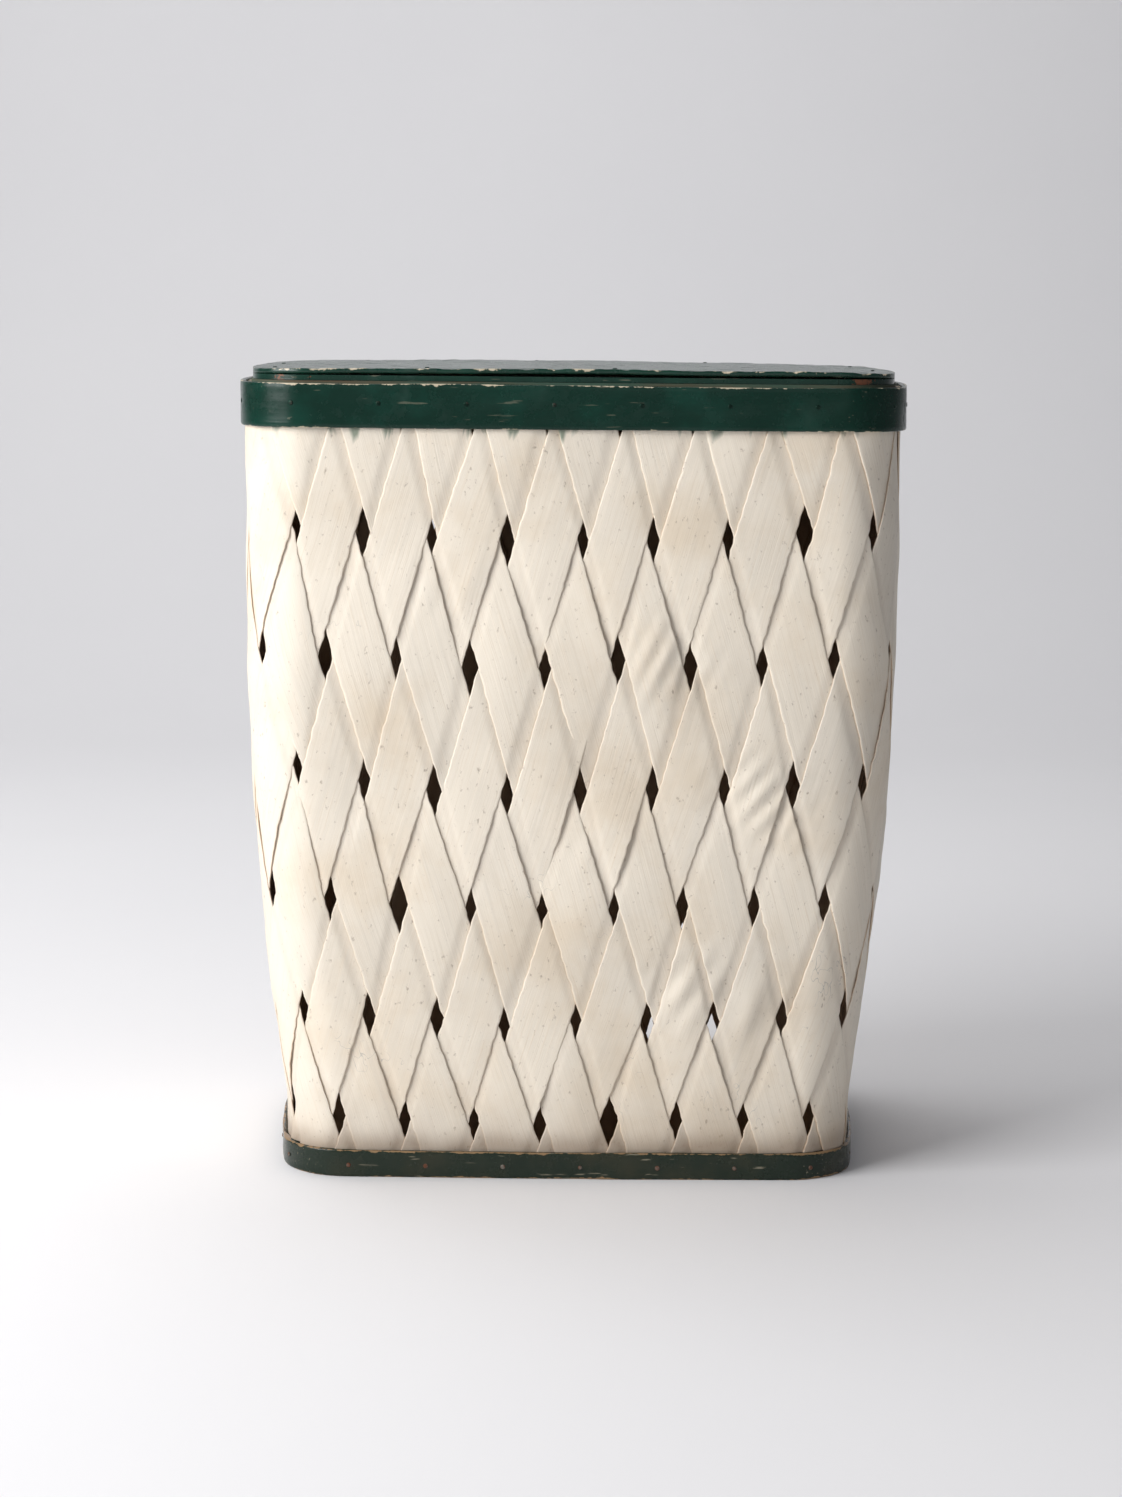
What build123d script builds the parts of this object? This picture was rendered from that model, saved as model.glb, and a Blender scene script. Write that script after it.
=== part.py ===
"""Splint hamper basket with a hinged lid: a bias-woven wall, rim, foot, base board, lid and hinges."""

from build123d import *
import os
from dataclasses import dataclass
from math import atan2, ceil, cos, degrees, floor, hypot, pi, sin, sqrt

# Wall: the middle surface of the weave, measured at the rim and at the foot
wall_width_at_rim = 499.0
wall_width_at_foot = 440.0
wall_depth_at_rim = 314.0
wall_depth_at_foot = 302.0
wall_corner_radius = 47.0
end_bow_radius = 800.0
face_bow_radius = 6500.0
straight_above = 430.0
straight_below = 52.0

# Splints: thin wide strips in two leaning sets that cross over and under each other
splint_count = 28
splint_thickness = 1.5
splint_gap = 7.4
splint_clearance = 0.65
splint_foot = 1.0
lowest_row = 44.8
rows_climb_shares = (0.1476, 0.1616, 0.1691, 0.1749, 0.1734, 0.1734)
weave_start = 5.0
weave_lean = 2.5
foot_spread = 6.0
most_sag = 0.36
end_spare = 0.1
spline_points = 5
splints_per_node = 2

# Rim: an outer band and an inner hoop, with the splint tops between them
rim_bottom = 565.0
rim_height = 32.0
rim_band_thickness = 4.0
hoop_height = 33.0
hoop_thickness = 4.0
hoop_above_band = 2.0
splint_below_rim_top = 1.5
hidden_row_above_rim_bottom = 15.0
seat_clearance = 0.15

# Foot: a band round the lower splint ends and a board inside them
foot_band_height = 20.0
foot_band_thickness = 3.5
base_board_thickness = 12.0

# Band ends: each bent band is closed at the back by a long slanted lap
lap_length = 40.0
lap_gap = 0.3

# Lid: a thin arched panel on a flat frame of four strips
lid_inset_from_wall = 3.4
lid_panel_thickness = 3.8
lid_panel_crown = 2.2
lid_frame_thickness = 3.8
lid_frame_width = 34.0
lid_frame_end_length = 52.0
lid_joint_gap = 0.3
lid_rest_gap = 0.3
panel_seat = 0.1
lid_tack_count = 10
lid_tack_start = 30.0
lid_tack_inset = 16.0

# Hinges: two butt hinges on the back of the rim, with the lid leaf let into the lid frame
hinge_width = 38.0
hinge_spacing = 270.0
hinge_leaf_thickness = 1.2
hinge_knuckle_radius = 2.6
hinge_pin_radius = 1.4
hinge_pin_clearance = 0.06
hinge_pin_stand_out = 0.6
hinge_knuckles = 3
hinge_knuckle_gap = 0.3
rim_leaf_height = 24.0
lid_leaf_length = 30.0
leaf_recess_clearance = 0.15
leaf_seat = 0.1
leaf_nail_inset = 6.0
leaf_nail_bite = 2.2

# Nails: square cut nails, driven until their heads stand just proud
rim_nail_count = 24
rim_nail_start = -14.5
rim_nail_rise = 18.0
foot_nail_count = 24
foot_nail_start = 10.0
foot_nail_rise = 9.0
nail_side = 2.4
nail_stand_out = 0.5
nail_hole_clearance = 0.1
nail_tip_clearance = 0.2

# Worked-out places
rim_top = rim_bottom + rim_height
hoop_top = rim_top + hoop_above_band
splint_top = rim_top - splint_below_rim_top
top_row = rim_bottom + hidden_row_above_rim_bottom
row_count = len(rows_climb_shares) + 1
row_heights = [lowest_row + (top_row - lowest_row) * sum(rows_climb_shares[:k]) for k in range(row_count)]


@dataclass(frozen=True)
class Outline:
    """A rounded rectangle whose ends and faces bow outwards: eight tangent arcs about the origin."""

    half_width: float
    half_depth: float
    corner: float = wall_corner_radius
    end_bow: float = end_bow_radius
    face_bow: float = face_bow_radius

    def grown(self, distance: float) -> "Outline":
        """The parallel outline that lies this far outside."""
        return Outline(
            self.half_width + distance,
            self.half_depth + distance,
            self.corner + distance,
            self.end_bow + distance,
            self.face_bow + distance,
        )

    def corner_centre(self) -> tuple[float, float]:
        """Centre of the front right corner arc, which touches the face arc and the end arc."""
        face_y = self.face_bow - self.half_depth
        end_x = self.half_width - self.end_bow
        to_face = self.face_bow - self.corner
        to_end = self.end_bow - self.corner
        apart = hypot(end_x, face_y)
        along = (to_face**2 - to_end**2 + apart**2) / (2 * apart)
        aside = sqrt(to_face**2 - along**2)
        ux, uy = end_x / apart, -face_y / apart
        return along * ux - aside * uy, face_y + along * uy + aside * ux

    def sweeps(self) -> tuple[float, float]:
        """Half the angle of the face arc and half the angle of the end arc."""
        x, y = self.corner_centre()
        face = atan2(x, self.face_bow - self.half_depth - y)
        end = atan2(-y, x - self.half_width + self.end_bow)
        return face, end

    def quarter(self) -> float:
        """Length from the middle of the face to the middle of the end."""
        face, end = self.sweeps()
        return self.face_bow * face + self.corner * (pi / 2 - face - end) + self.end_bow * end

    def at(self, station: float) -> tuple[float, float, float]:
        """Point at a length counted from the front middle towards +X, and the outward angle there."""
        quarter = self.quarter()
        station %= 4 * quarter
        if station > 2 * quarter:
            x, y, angle = self.at(station - 2 * quarter)
            return -x, -y, angle + pi
        if station > quarter:
            x, y, angle = self.at(2 * quarter - station)
            return x, -y, -angle
        face, end = self.sweeps()
        face_length = self.face_bow * face
        corner_length = self.corner * (pi / 2 - face - end)
        if station <= face_length:
            angle = station / self.face_bow - pi / 2
            radius, x, y = self.face_bow, 0.0, self.face_bow - self.half_depth
        elif station <= face_length + corner_length:
            angle = face - pi / 2 + (station - face_length) / self.corner
            radius = self.corner
            x, y = self.corner_centre()
        else:
            angle = -end + (station - face_length - corner_length) / self.end_bow
            radius, x, y = self.end_bow, self.half_width - self.end_bow, 0.0
        return x + radius * cos(angle), y + radius * sin(angle), angle

    def lines(self) -> None:
        """Draws the eight arcs in the line builder that is open."""
        face, end = map(degrees, self.sweeps())
        x, y = self.corner_centre()
        face_y = self.face_bow - self.half_depth
        end_x = self.half_width - self.end_bow
        turn = 90 - face - end
        CenterArc((0, face_y), self.face_bow, -90 - face, 2 * face)
        CenterArc((x, y), self.corner, face - 90, turn)
        CenterArc((end_x, 0), self.end_bow, -end, 2 * end)
        CenterArc((x, -y), self.corner, end, turn)
        CenterArc((0, -face_y), self.face_bow, 90 - face, 2 * face)
        CenterArc((-x, -y), self.corner, 90 + face, turn)
        CenterArc((-end_x, 0), self.end_bow, 180 - end, 2 * end)
        CenterArc((-x, y), self.corner, 180 + end, turn)


def drawn_in(height: float) -> float:
    """How far the wall is drawn in at a height: 0 by the rim and 1 by the foot, along an arc between."""
    run = straight_above - straight_below
    return (min(max(straight_above - height, 0.0), run) / run) ** 2


def wall_at(height: float) -> Outline:
    """Outline of the middle of the weave."""
    share = drawn_in(height)
    half_width = (wall_width_at_rim - (wall_width_at_rim - wall_width_at_foot) * share) / 2
    half_depth = (wall_depth_at_rim - (wall_depth_at_rim - wall_depth_at_foot) * share) / 2
    return Outline(half_width, half_depth)


# Weave: how far a splint stands off the middle surface, and how much of the pitch it fills
pitch_at_rim = 4 * wall_at(top_row).quarter() / splint_count
width_share = 1 - splint_gap / pitch_at_rim
crossing_lift = (splint_thickness + splint_clearance) / 2
weave_reach = crossing_lift + splint_thickness / 2
splint_sides = [step / (spline_points - 1) for step in range(spline_points)]

# Seats that the weave gives to the bands, the hoop, the board and the lid
rim_wall = wall_at(rim_bottom)
foot_wall = wall_at(0)
rim_band_inner = rim_wall.grown(weave_reach + seat_clearance)
rim_band_outer = rim_band_inner.grown(rim_band_thickness)
hoop_outer = rim_wall.grown(-weave_reach - most_sag - seat_clearance)
hoop_inner = hoop_outer.grown(-hoop_thickness)
foot_band_inner = foot_wall.grown(weave_reach + seat_clearance)
foot_band_outer = foot_band_inner.grown(foot_band_thickness)
board_outline = foot_wall.grown(-weave_reach - most_sag - seat_clearance)
lid_outline = rim_wall.grown(-lid_inset_from_wall)


def splint_lift(rows_up: float, side: float, hand: int) -> float:
    """How far one lengthwise line of a splint stands off the middle surface, at a height counted in rows.

    side runs from 0 at the left edge to 1 at the right edge. The line stays over or under the crossing
    splint to that splint's edge, and changes sides in the gap before the next one.
    """
    row = floor(rows_up)
    over = crossing_lift if (row % 2 == 1) == (hand > 0) else -crossing_lift
    leave, meet = switch_shares(side, hand)
    share = (rows_up - row - leave) / (meet - leave)
    return over * (1 - 2 * min(max(share, 0.0), 1.0))


def switch_shares(side: float, hand: int) -> tuple[float, float]:
    """Where a lengthwise line leaves one crossing splint and meets the next, as shares of a row."""
    across = side if hand > 0 else 1 - side
    return (1 - across) * width_share, 1 - across * width_share


def row_level(rows_up: float) -> float:
    """Height of a place counted in rows, where row 0 is the lowest whole row."""
    row = min(max(floor(rows_up), 0), row_count - 2)
    return row_heights[row] + (rows_up - row) * (row_heights[row + 1] - row_heights[row])


def splint_place(hand: int, index: int, rows_up: float, side: float) -> tuple[float, float, float, float]:
    """Where one lengthwise line of a splint meets the middle surface: x, y, height and outward angle.

    Towards the foot the splints of the front and the back spread a little towards the corners.
    """
    height = row_level(rows_up)
    wall = wall_at(height)
    round_length = 4 * wall.quarter()
    across = (index + hand * rows_up / 2 + width_share * (side - 0.5)) * round_length / splint_count
    across += weave_start + weave_lean * height / rim_top
    across += foot_spread * drawn_in(height) * sin(4 * pi * across / round_length)
    x, y, angle = wall.at(across)
    return x, y, height, angle


def steps_between(hand: int, index: int, low: list[float], high: list[float]) -> int:
    """How many straight steps keep the lines between two sections close to the rounded wall."""
    sags = []
    for side, first, last in zip(splint_sides, low, high):
        start = splint_place(hand, index, first, side)
        end = splint_place(hand, index, last, side)
        wall = splint_place(hand, index, (first + last) / 2, side)
        sags.append(hypot((start[0] + end[0]) / 2 - wall[0], (start[1] + end[1]) / 2 - wall[1]))
    return max(1, ceil(sqrt(max(sags) / most_sag)))


def splint_section(hand: int, index: int, rows: list[float]) -> Wire:
    """One closed section of a splint. It lies along the edges of the splints that it crosses."""
    inner, outer = [], []
    for side, rows_up in zip(splint_sides, rows):
        x, y, height, angle = splint_place(hand, index, rows_up, side)
        lift = splint_lift(rows_up, side, hand)
        for face, points in ((-0.5, inner), (0.5, outer)):
            reach = lift + face * splint_thickness
            points.append((x + reach * cos(angle), y + reach * sin(angle), height))
    with BuildLine() as section:
        Spline(*outer)
        Line(outer[-1], inner[-1])
        Spline(*reversed(inner))
        Line(inner[0], outer[0])
    return section.wire()


def splint_sections(hand: int, index: int) -> list[Wire]:
    """All sections of one splint, from below the foot to above the rim, both sides of each change."""
    shares = [switch_shares(side, hand) for side in splint_sides]
    levels = [[-1.0 - end_spare] * len(splint_sides)]
    for row in range(-1, row_count):
        leave = [row + leave for leave, _ in shares]
        meet = [row + meet for _, meet in shares]
        low, steps = levels[-1], steps_between(hand, index, levels[-1], leave)
        levels += [[a + (b - a) * step / steps for a, b in zip(low, leave)] for step in range(1, steps)]
        levels += [leave, meet]
    levels.append([row_count + end_spare] * len(splint_sides))
    return [splint_section(hand, index, rows) for rows in levels]


def area(outline: Outline, height: float) -> Sketch:
    """The area inside an outline, lying at this height."""
    with BuildSketch(Plane.XY.offset(height)) as drawn:
        with BuildLine():
            outline.lines()
        make_face()
    return drawn.sketch


def back_of(outline: Outline, x: float) -> float:
    """How far back the rear face of an outline stands at this place across it."""
    return outline.half_depth - outline.face_bow + sqrt(outline.face_bow**2 - x**2)


def band(outer: Outline, inner: Outline, bottom: float, height: float, lap_middle: float) -> None:
    """A bent wooden band with a slanted lap at the back, in the part that is open."""
    extrude(area(outer, bottom), amount=height)
    extrude(area(inner, bottom), amount=height, mode=Mode.SUBTRACT)
    front, back = inner.half_depth - 1, outer.half_depth + 1
    slit = lap_gap * hypot(lap_length, back - front) / (back - front)
    start = lap_middle - lap_length / 2
    with BuildSketch(Plane.XY.offset(bottom)) as lap:
        with BuildLine():
            Polyline(
                (start, front),
                (start + slit, front),
                (start + lap_length + slit, back),
                (start + lap_length, back),
                close=True,
            )
        make_face()
    extrude(lap.sketch, amount=height, mode=Mode.SUBTRACT)


def nail_places(outline: Outline, count: int, start: float, height: float) -> list[Plane]:
    """Evenly spaced places on the outside of a band, each facing outwards."""
    places = []
    for index in range(count):
        x, y, angle = outline.at(start + index * 4 * outline.quarter() / count)
        outward = (cos(angle), sin(angle), 0)
        places.append(Plane(origin=(x, y, height), x_dir=(-sin(angle), cos(angle), 0), z_dir=outward))
    return places


def drive_nail(place: Plane, length: float) -> None:
    """A square nail driven in at the place, with its head left just proud, in the part that is open."""
    with BuildSketch(place.offset(nail_stand_out)) as head:
        Rectangle(nail_side, nail_side)
    extrude(head.sketch, amount=nail_tip_clearance - length - nail_stand_out)


def cut_nail_hole(place: Plane, length: float) -> None:
    """The square hole that a nail passes through, cut from the part that is open."""
    side = nail_side + 2 * nail_hole_clearance
    with BuildSketch(place) as hole:
        Rectangle(side, side)
    extrude(hole.sketch, amount=-length, mode=Mode.SUBTRACT)


def save(part: Part, label: str) -> None:
    """Names a finished piece and writes it."""
    part.label = label
    export_step(part, f"parts/{label}.step")


os.makedirs("parts", exist_ok=True)

# Woven wall: each node holds two neighbouring splints of one lean
for hand, lean in ((1, "right"), (-1, "left")):
    for first in range(0, splint_count, splints_per_node):
        with BuildPart() as splints:
            for index in range(first, min(first + splints_per_node, splint_count)):
                add(Solid.make_loft(splint_sections(hand, index), ruled=True), clean=False)
            with BuildSketch(Plane.XY.offset(splint_foot)):
                Rectangle(2 * wall_width_at_rim, 2 * wall_depth_at_rim)
            extrude(amount=splint_top - splint_foot, mode=Mode.INTERSECT, clean=False)
        save(splints.part, f"{lean}_leaning_splints_{first // splints_per_node + 1:02d}")

# Rim
rim_nails_at = nail_places(rim_band_outer, rim_nail_count, rim_nail_start, rim_bottom + rim_nail_rise)
with BuildPart() as rim_outer_band:
    band(rim_band_outer, rim_band_inner, rim_bottom, rim_height, 0)
save(rim_outer_band.part, "rim_outer_band")

with BuildPart() as rim_inner_hoop:
    band(hoop_outer, hoop_inner, hoop_top - hoop_height, hoop_height, -lap_length)
save(rim_inner_hoop.part, "rim_inner_hoop")

with BuildPart() as rim_nails:
    for place in rim_nails_at:
        drive_nail(place, rim_band_thickness)
save(rim_nails.part, "rim_nails")

# Foot
foot_nails_at = nail_places(foot_band_outer, foot_nail_count, foot_nail_start, foot_nail_rise)
with BuildPart() as foot_band:
    band(foot_band_outer, foot_band_inner, 0, foot_band_height, lap_length)
save(foot_band.part, "foot_band")

with BuildPart() as foot_nails:
    for place in foot_nails_at:
        drive_nail(place, foot_band_thickness)
save(foot_nails.part, "foot_nails")

with BuildPart() as base_board:
    extrude(area(board_outline, 0), amount=base_board_thickness)
save(base_board.part, "base_board")

# Lid frame: two long strips between two end pieces that carry the rounded corners
lid_bottom = hoop_top + lid_rest_gap
frame_top = lid_bottom + lid_frame_thickness
frame_inner = lid_outline.grown(-lid_frame_width)
joint_x = lid_outline.half_width - lid_frame_end_length
hinge_places = (-hinge_spacing / 2, hinge_spacing / 2)
leaf_back = back_of(rim_band_outer, (hinge_spacing - hinge_width) / 2) + leaf_seat
pin_y = leaf_back + hinge_knuckle_radius
pin_z = lid_bottom + hinge_leaf_thickness - hinge_knuckle_radius


def frame_piece(x: float, y: float, length: float, depth: float) -> None:
    """The part of the lid frame inside a box, in the part that is open."""
    extrude(area(lid_outline, lid_bottom), amount=lid_frame_thickness)
    extrude(area(frame_inner, lid_bottom), amount=lid_frame_thickness, mode=Mode.SUBTRACT)
    with BuildSketch(Plane(origin=(x, y, lid_bottom))) as box:
        Rectangle(length, depth)
    extrude(box.sketch, amount=lid_frame_thickness, mode=Mode.INTERSECT)


strip_length = 2 * joint_x - 2 * lid_joint_gap
strip_y = lid_outline.half_depth
for side, label in ((-1, "lid_frame_front_strip"), (1, "lid_frame_back_strip")):
    with BuildPart() as strip:
        frame_piece(0, side * strip_y, strip_length, lid_outline.half_depth)
        if side > 0:
            recess = hinge_leaf_thickness + leaf_recess_clearance
            recess_width = hinge_width + 2 * leaf_recess_clearance
            recess_front = pin_y - lid_leaf_length - leaf_recess_clearance
            with BuildSketch(Plane.XY.offset(lid_bottom)):
                with Locations(*[(x, (recess_front + pin_y) / 2) for x in hinge_places]):
                    Rectangle(recess_width, pin_y - recess_front)
            extrude(amount=recess, mode=Mode.SUBTRACT)
    save(strip.part, label)

for side, label in ((-1, "lid_frame_left_end"), (1, "lid_frame_right_end")):
    with BuildPart() as end:
        middle = side * (joint_x + lid_frame_end_length)
        frame_piece(middle, 0, 2 * lid_frame_end_length, 2 * lid_outline.half_depth)
    save(end.part, label)

# Lid panel: an arched sheet trimmed to the lid's outline, seated on the frame ends
panel_foot = frame_top + panel_seat
panel_half = lid_outline.half_width
panel_crown_radius = (panel_half**2 + lid_panel_crown**2) / (2 * lid_panel_crown)


def panel_top(x: float) -> float:
    """Height of the panel's upper face at this place across the lid."""
    drop = panel_crown_radius - sqrt(panel_crown_radius**2 - x**2)
    return panel_foot + lid_panel_crown + lid_panel_thickness - drop


def panel_profile() -> Sketch:
    """The arched sheet's section across the lid, drawn past the lid's ends so that the outline trims it."""
    end = panel_half + lid_panel_thickness
    high = panel_top(end)
    low = high - lid_panel_thickness
    with BuildSketch(Plane.XZ) as profile:
        with BuildLine():
            ThreePointArc((-end, low), (0, panel_top(0) - lid_panel_thickness), (end, low))
            Line((end, low), (end, high))
            ThreePointArc((end, high), (0, panel_top(0)), (-end, high))
            Line((-end, high), (-end, low))
        make_face()
    return profile.sketch


tack_line = lid_outline.grown(-lid_tack_inset)
tack_places = []
for index in range(lid_tack_count):
    x, y, _ = tack_line.at(lid_tack_start + index * 4 * tack_line.quarter() / lid_tack_count)
    tack_places.append(Plane(origin=(x, y, panel_top(x))))

with BuildPart() as lid_panel:
    extrude(panel_profile(), amount=lid_outline.half_depth + lid_panel_thickness, both=True)
    trim_height = 3 * lid_panel_thickness + lid_panel_crown
    trim = area(lid_outline, panel_foot - lid_panel_thickness)
    extrude(trim, amount=trim_height, mode=Mode.INTERSECT)
save(lid_panel.part, "lid_panel")

with BuildPart() as lid_tacks:
    for place in tack_places:
        drive_nail(place, lid_panel_thickness)
save(lid_tacks.part, "lid_tacks")

# Hinges: barrels shared between two leaves, a pin through them, and nails that hold the leaves
barrel = (hinge_width - (hinge_knuckles - 1) * hinge_knuckle_gap) / hinge_knuckles
leaf_nail_x = hinge_width / 2 - leaf_nail_inset


def barrel_places(hinge_x: float, own: bool) -> list[Plane]:
    """The left ends of the rim leaf's barrels, or of the lid leaf's, facing along the pin."""
    first = hinge_x - hinge_width / 2
    step = barrel + hinge_knuckle_gap
    numbers = range(0 if own else 1, hinge_knuckles, 2)
    return [Plane(origin=(first + number * step, pin_y, pin_z), z_dir=(1, 0, 0)) for number in numbers]


def leaf(hinge_x: float, own: bool, nails_at: list[Plane]) -> None:
    """A hinge leaf from its plate, already in the open part: barrels on, notches and holes cut."""
    room_side = 2 * (hinge_knuckle_radius + hinge_knuckle_gap)
    for place in barrel_places(hinge_x, not own):
        with BuildSketch(place.offset(-hinge_knuckle_gap)) as room:
            Rectangle(room_side, room_side)
        extrude(room.sketch, amount=barrel + 2 * hinge_knuckle_gap, mode=Mode.SUBTRACT)
    for place in barrel_places(hinge_x, own):
        with BuildSketch(place) as ring:
            Circle(hinge_knuckle_radius)
        extrude(ring.sketch, amount=barrel)
    bore_start = hinge_x - hinge_width / 2 - hinge_knuckle_gap
    with BuildSketch(Plane(origin=(bore_start, pin_y, pin_z), z_dir=(1, 0, 0))) as bore:
        Circle(hinge_pin_radius + hinge_pin_clearance)
    extrude(bore.sketch, amount=hinge_width + 2 * hinge_knuckle_gap, mode=Mode.SUBTRACT)
    for place in nails_at:
        cut_nail_hole(place.offset(nail_stand_out), hinge_leaf_thickness + 2 * nail_stand_out)


def rim_leaf_nails(hinge_x: float) -> list[Plane]:
    """Places of the nails through a rim leaf, facing backwards."""
    height = pin_z - rim_leaf_height + leaf_nail_inset
    back = leaf_back + hinge_leaf_thickness
    return [Plane(origin=(hinge_x + s * leaf_nail_x, back, height), z_dir=(0, 1, 0)) for s in (-1, 1)]


def lid_leaf_nails(hinge_x: float) -> list[Plane]:
    """Places of the nails through a lid leaf, facing down into the basket."""
    y = pin_y - lid_leaf_length + leaf_nail_inset
    return [Plane(origin=(hinge_x + s * leaf_nail_x, y, lid_bottom), z_dir=(0, 0, -1)) for s in (-1, 1)]


for hinge_x, side in zip(hinge_places, ("left", "right")):
    with BuildPart() as rim_leaf:
        plate_middle = (hinge_x, leaf_back, pin_z - rim_leaf_height / 2)
        with BuildSketch(Plane(origin=plate_middle, x_dir=(1, 0, 0), z_dir=(0, 1, 0))):
            Rectangle(hinge_width, rim_leaf_height)
        extrude(amount=hinge_leaf_thickness)
        leaf(hinge_x, True, rim_leaf_nails(hinge_x))
    save(rim_leaf.part, f"{side}_hinge_rim_leaf")

    with BuildPart() as lid_leaf:
        with BuildSketch(Plane(origin=(hinge_x, pin_y - lid_leaf_length / 2, lid_bottom))):
            Rectangle(hinge_width, lid_leaf_length)
        extrude(amount=hinge_leaf_thickness)
        leaf(hinge_x, False, lid_leaf_nails(hinge_x))
    save(lid_leaf.part, f"{side}_hinge_lid_leaf")

    with BuildPart() as hinge_pin:
        pin_start = hinge_x - hinge_width / 2 - hinge_pin_stand_out
        with BuildSketch(Plane(origin=(pin_start, pin_y, pin_z), z_dir=(1, 0, 0))):
            Circle(hinge_pin_radius)
        extrude(amount=hinge_width + 2 * hinge_pin_stand_out)
    save(hinge_pin.part, f"{side}_hinge_pin")

with BuildPart() as rim_leaf_nail_set:
    for hinge_x in hinge_places:
        for place in rim_leaf_nails(hinge_x):
            drive_nail(place, hinge_leaf_thickness + leaf_nail_bite)
save(rim_leaf_nail_set.part, "rim_leaf_nails")

with BuildPart() as lid_leaf_nail_set:
    for hinge_x in hinge_places:
        for place in lid_leaf_nails(hinge_x):
            drive_nail(place, hinge_leaf_thickness + leaf_nail_bite)
save(lid_leaf_nail_set.part, "lid_leaf_nails")

print("hinge pin", round(pin_y, 3), round(pin_z, 3))
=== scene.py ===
"""Looks of the splint hamper basket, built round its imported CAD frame.

The frame is the CAD model's: +X to the right, +Y to the back, +Z up. Sizes are in millimetres, as in the
CAD model, unless a line says otherwise, and a mesh goes to metres when it is made.
"""

import logging
import math
from collections.abc import Callable
from dataclasses import dataclass, field
from enum import Enum

import bmesh
import bpy
import numpy as np
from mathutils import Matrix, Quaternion, Vector


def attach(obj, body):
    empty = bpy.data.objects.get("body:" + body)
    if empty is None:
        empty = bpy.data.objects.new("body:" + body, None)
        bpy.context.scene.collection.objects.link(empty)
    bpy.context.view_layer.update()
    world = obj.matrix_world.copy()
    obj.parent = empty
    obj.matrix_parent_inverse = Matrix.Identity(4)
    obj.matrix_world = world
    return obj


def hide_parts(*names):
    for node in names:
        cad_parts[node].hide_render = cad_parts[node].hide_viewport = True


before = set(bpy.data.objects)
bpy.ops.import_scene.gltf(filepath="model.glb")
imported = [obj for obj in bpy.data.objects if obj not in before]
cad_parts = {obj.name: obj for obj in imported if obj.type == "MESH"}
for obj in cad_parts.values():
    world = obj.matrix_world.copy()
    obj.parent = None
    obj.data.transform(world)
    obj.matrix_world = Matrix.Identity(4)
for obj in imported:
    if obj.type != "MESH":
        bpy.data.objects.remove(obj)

log = logging.getLogger("hamper")
MM = 0.001
# Value of the edge attribute where paint is whole
SOUND_PAINT = 1.4

Colour = tuple[float, float, float]
Triple = tuple[float, float, float]
Socket = bpy.types.NodeSocket
Sockets = dict[str, Socket]


class Slot(str, Enum):
    """Material slots of the record, one for each kind of new piece."""

    SPLINT = "cream_splint"
    GREEN = "green_paint"
    FOOT = "worn_green_foot"
    NAIL = "rusty_nail"


class Lean(Enum):
    """Which way a splint rises, seen from outside."""

    RIGHT = 1
    LEFT = -1


@dataclass(frozen=True)
class Ripple:
    """Smooth seeded noise made of sine waves, with its depth and the typical length of a wave."""

    depth: float
    size: float
    seed: int = 0
    count: int = 24

    def at(self, x: np.ndarray, y: np.ndarray | float = 0.0, seed: int = 0) -> np.ndarray:
        """Reads the noise.

        Args:
            x: First coordinate.
            y: Second coordinate.
            seed: What is added to its own seed, for a piece that has noise of its own.

        Returns:
            Values of about minus to plus the depth.
        """
        rng = np.random.default_rng(self.seed + seed)
        total = np.zeros(np.broadcast(x, y).shape)
        for _ in range(self.count):
            turn = rng.uniform(0, 2 * math.pi)
            step = 2 * math.pi / (self.size * rng.uniform(0.6, 1.8))
            total += np.sin(step * (x * math.cos(turn) + y * math.sin(turn)) + rng.uniform(0, 2 * math.pi))
        return self.depth * (total / math.sqrt(self.count))


def smooth(value: np.ndarray) -> np.ndarray:
    """A soft step from 0 to 1 with flat ends."""
    t = np.clip(value, 0.0, 1.0)
    return t * t * (3 - 2 * t)


def fall(distance: np.ndarray, reach: float, power: float = 1.6) -> np.ndarray:
    """How far a soft edge has fallen: 1 at the edge, and 0 from its reach inwards."""
    return (1 - np.clip(distance / reach, 0, 1)) ** power


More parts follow.
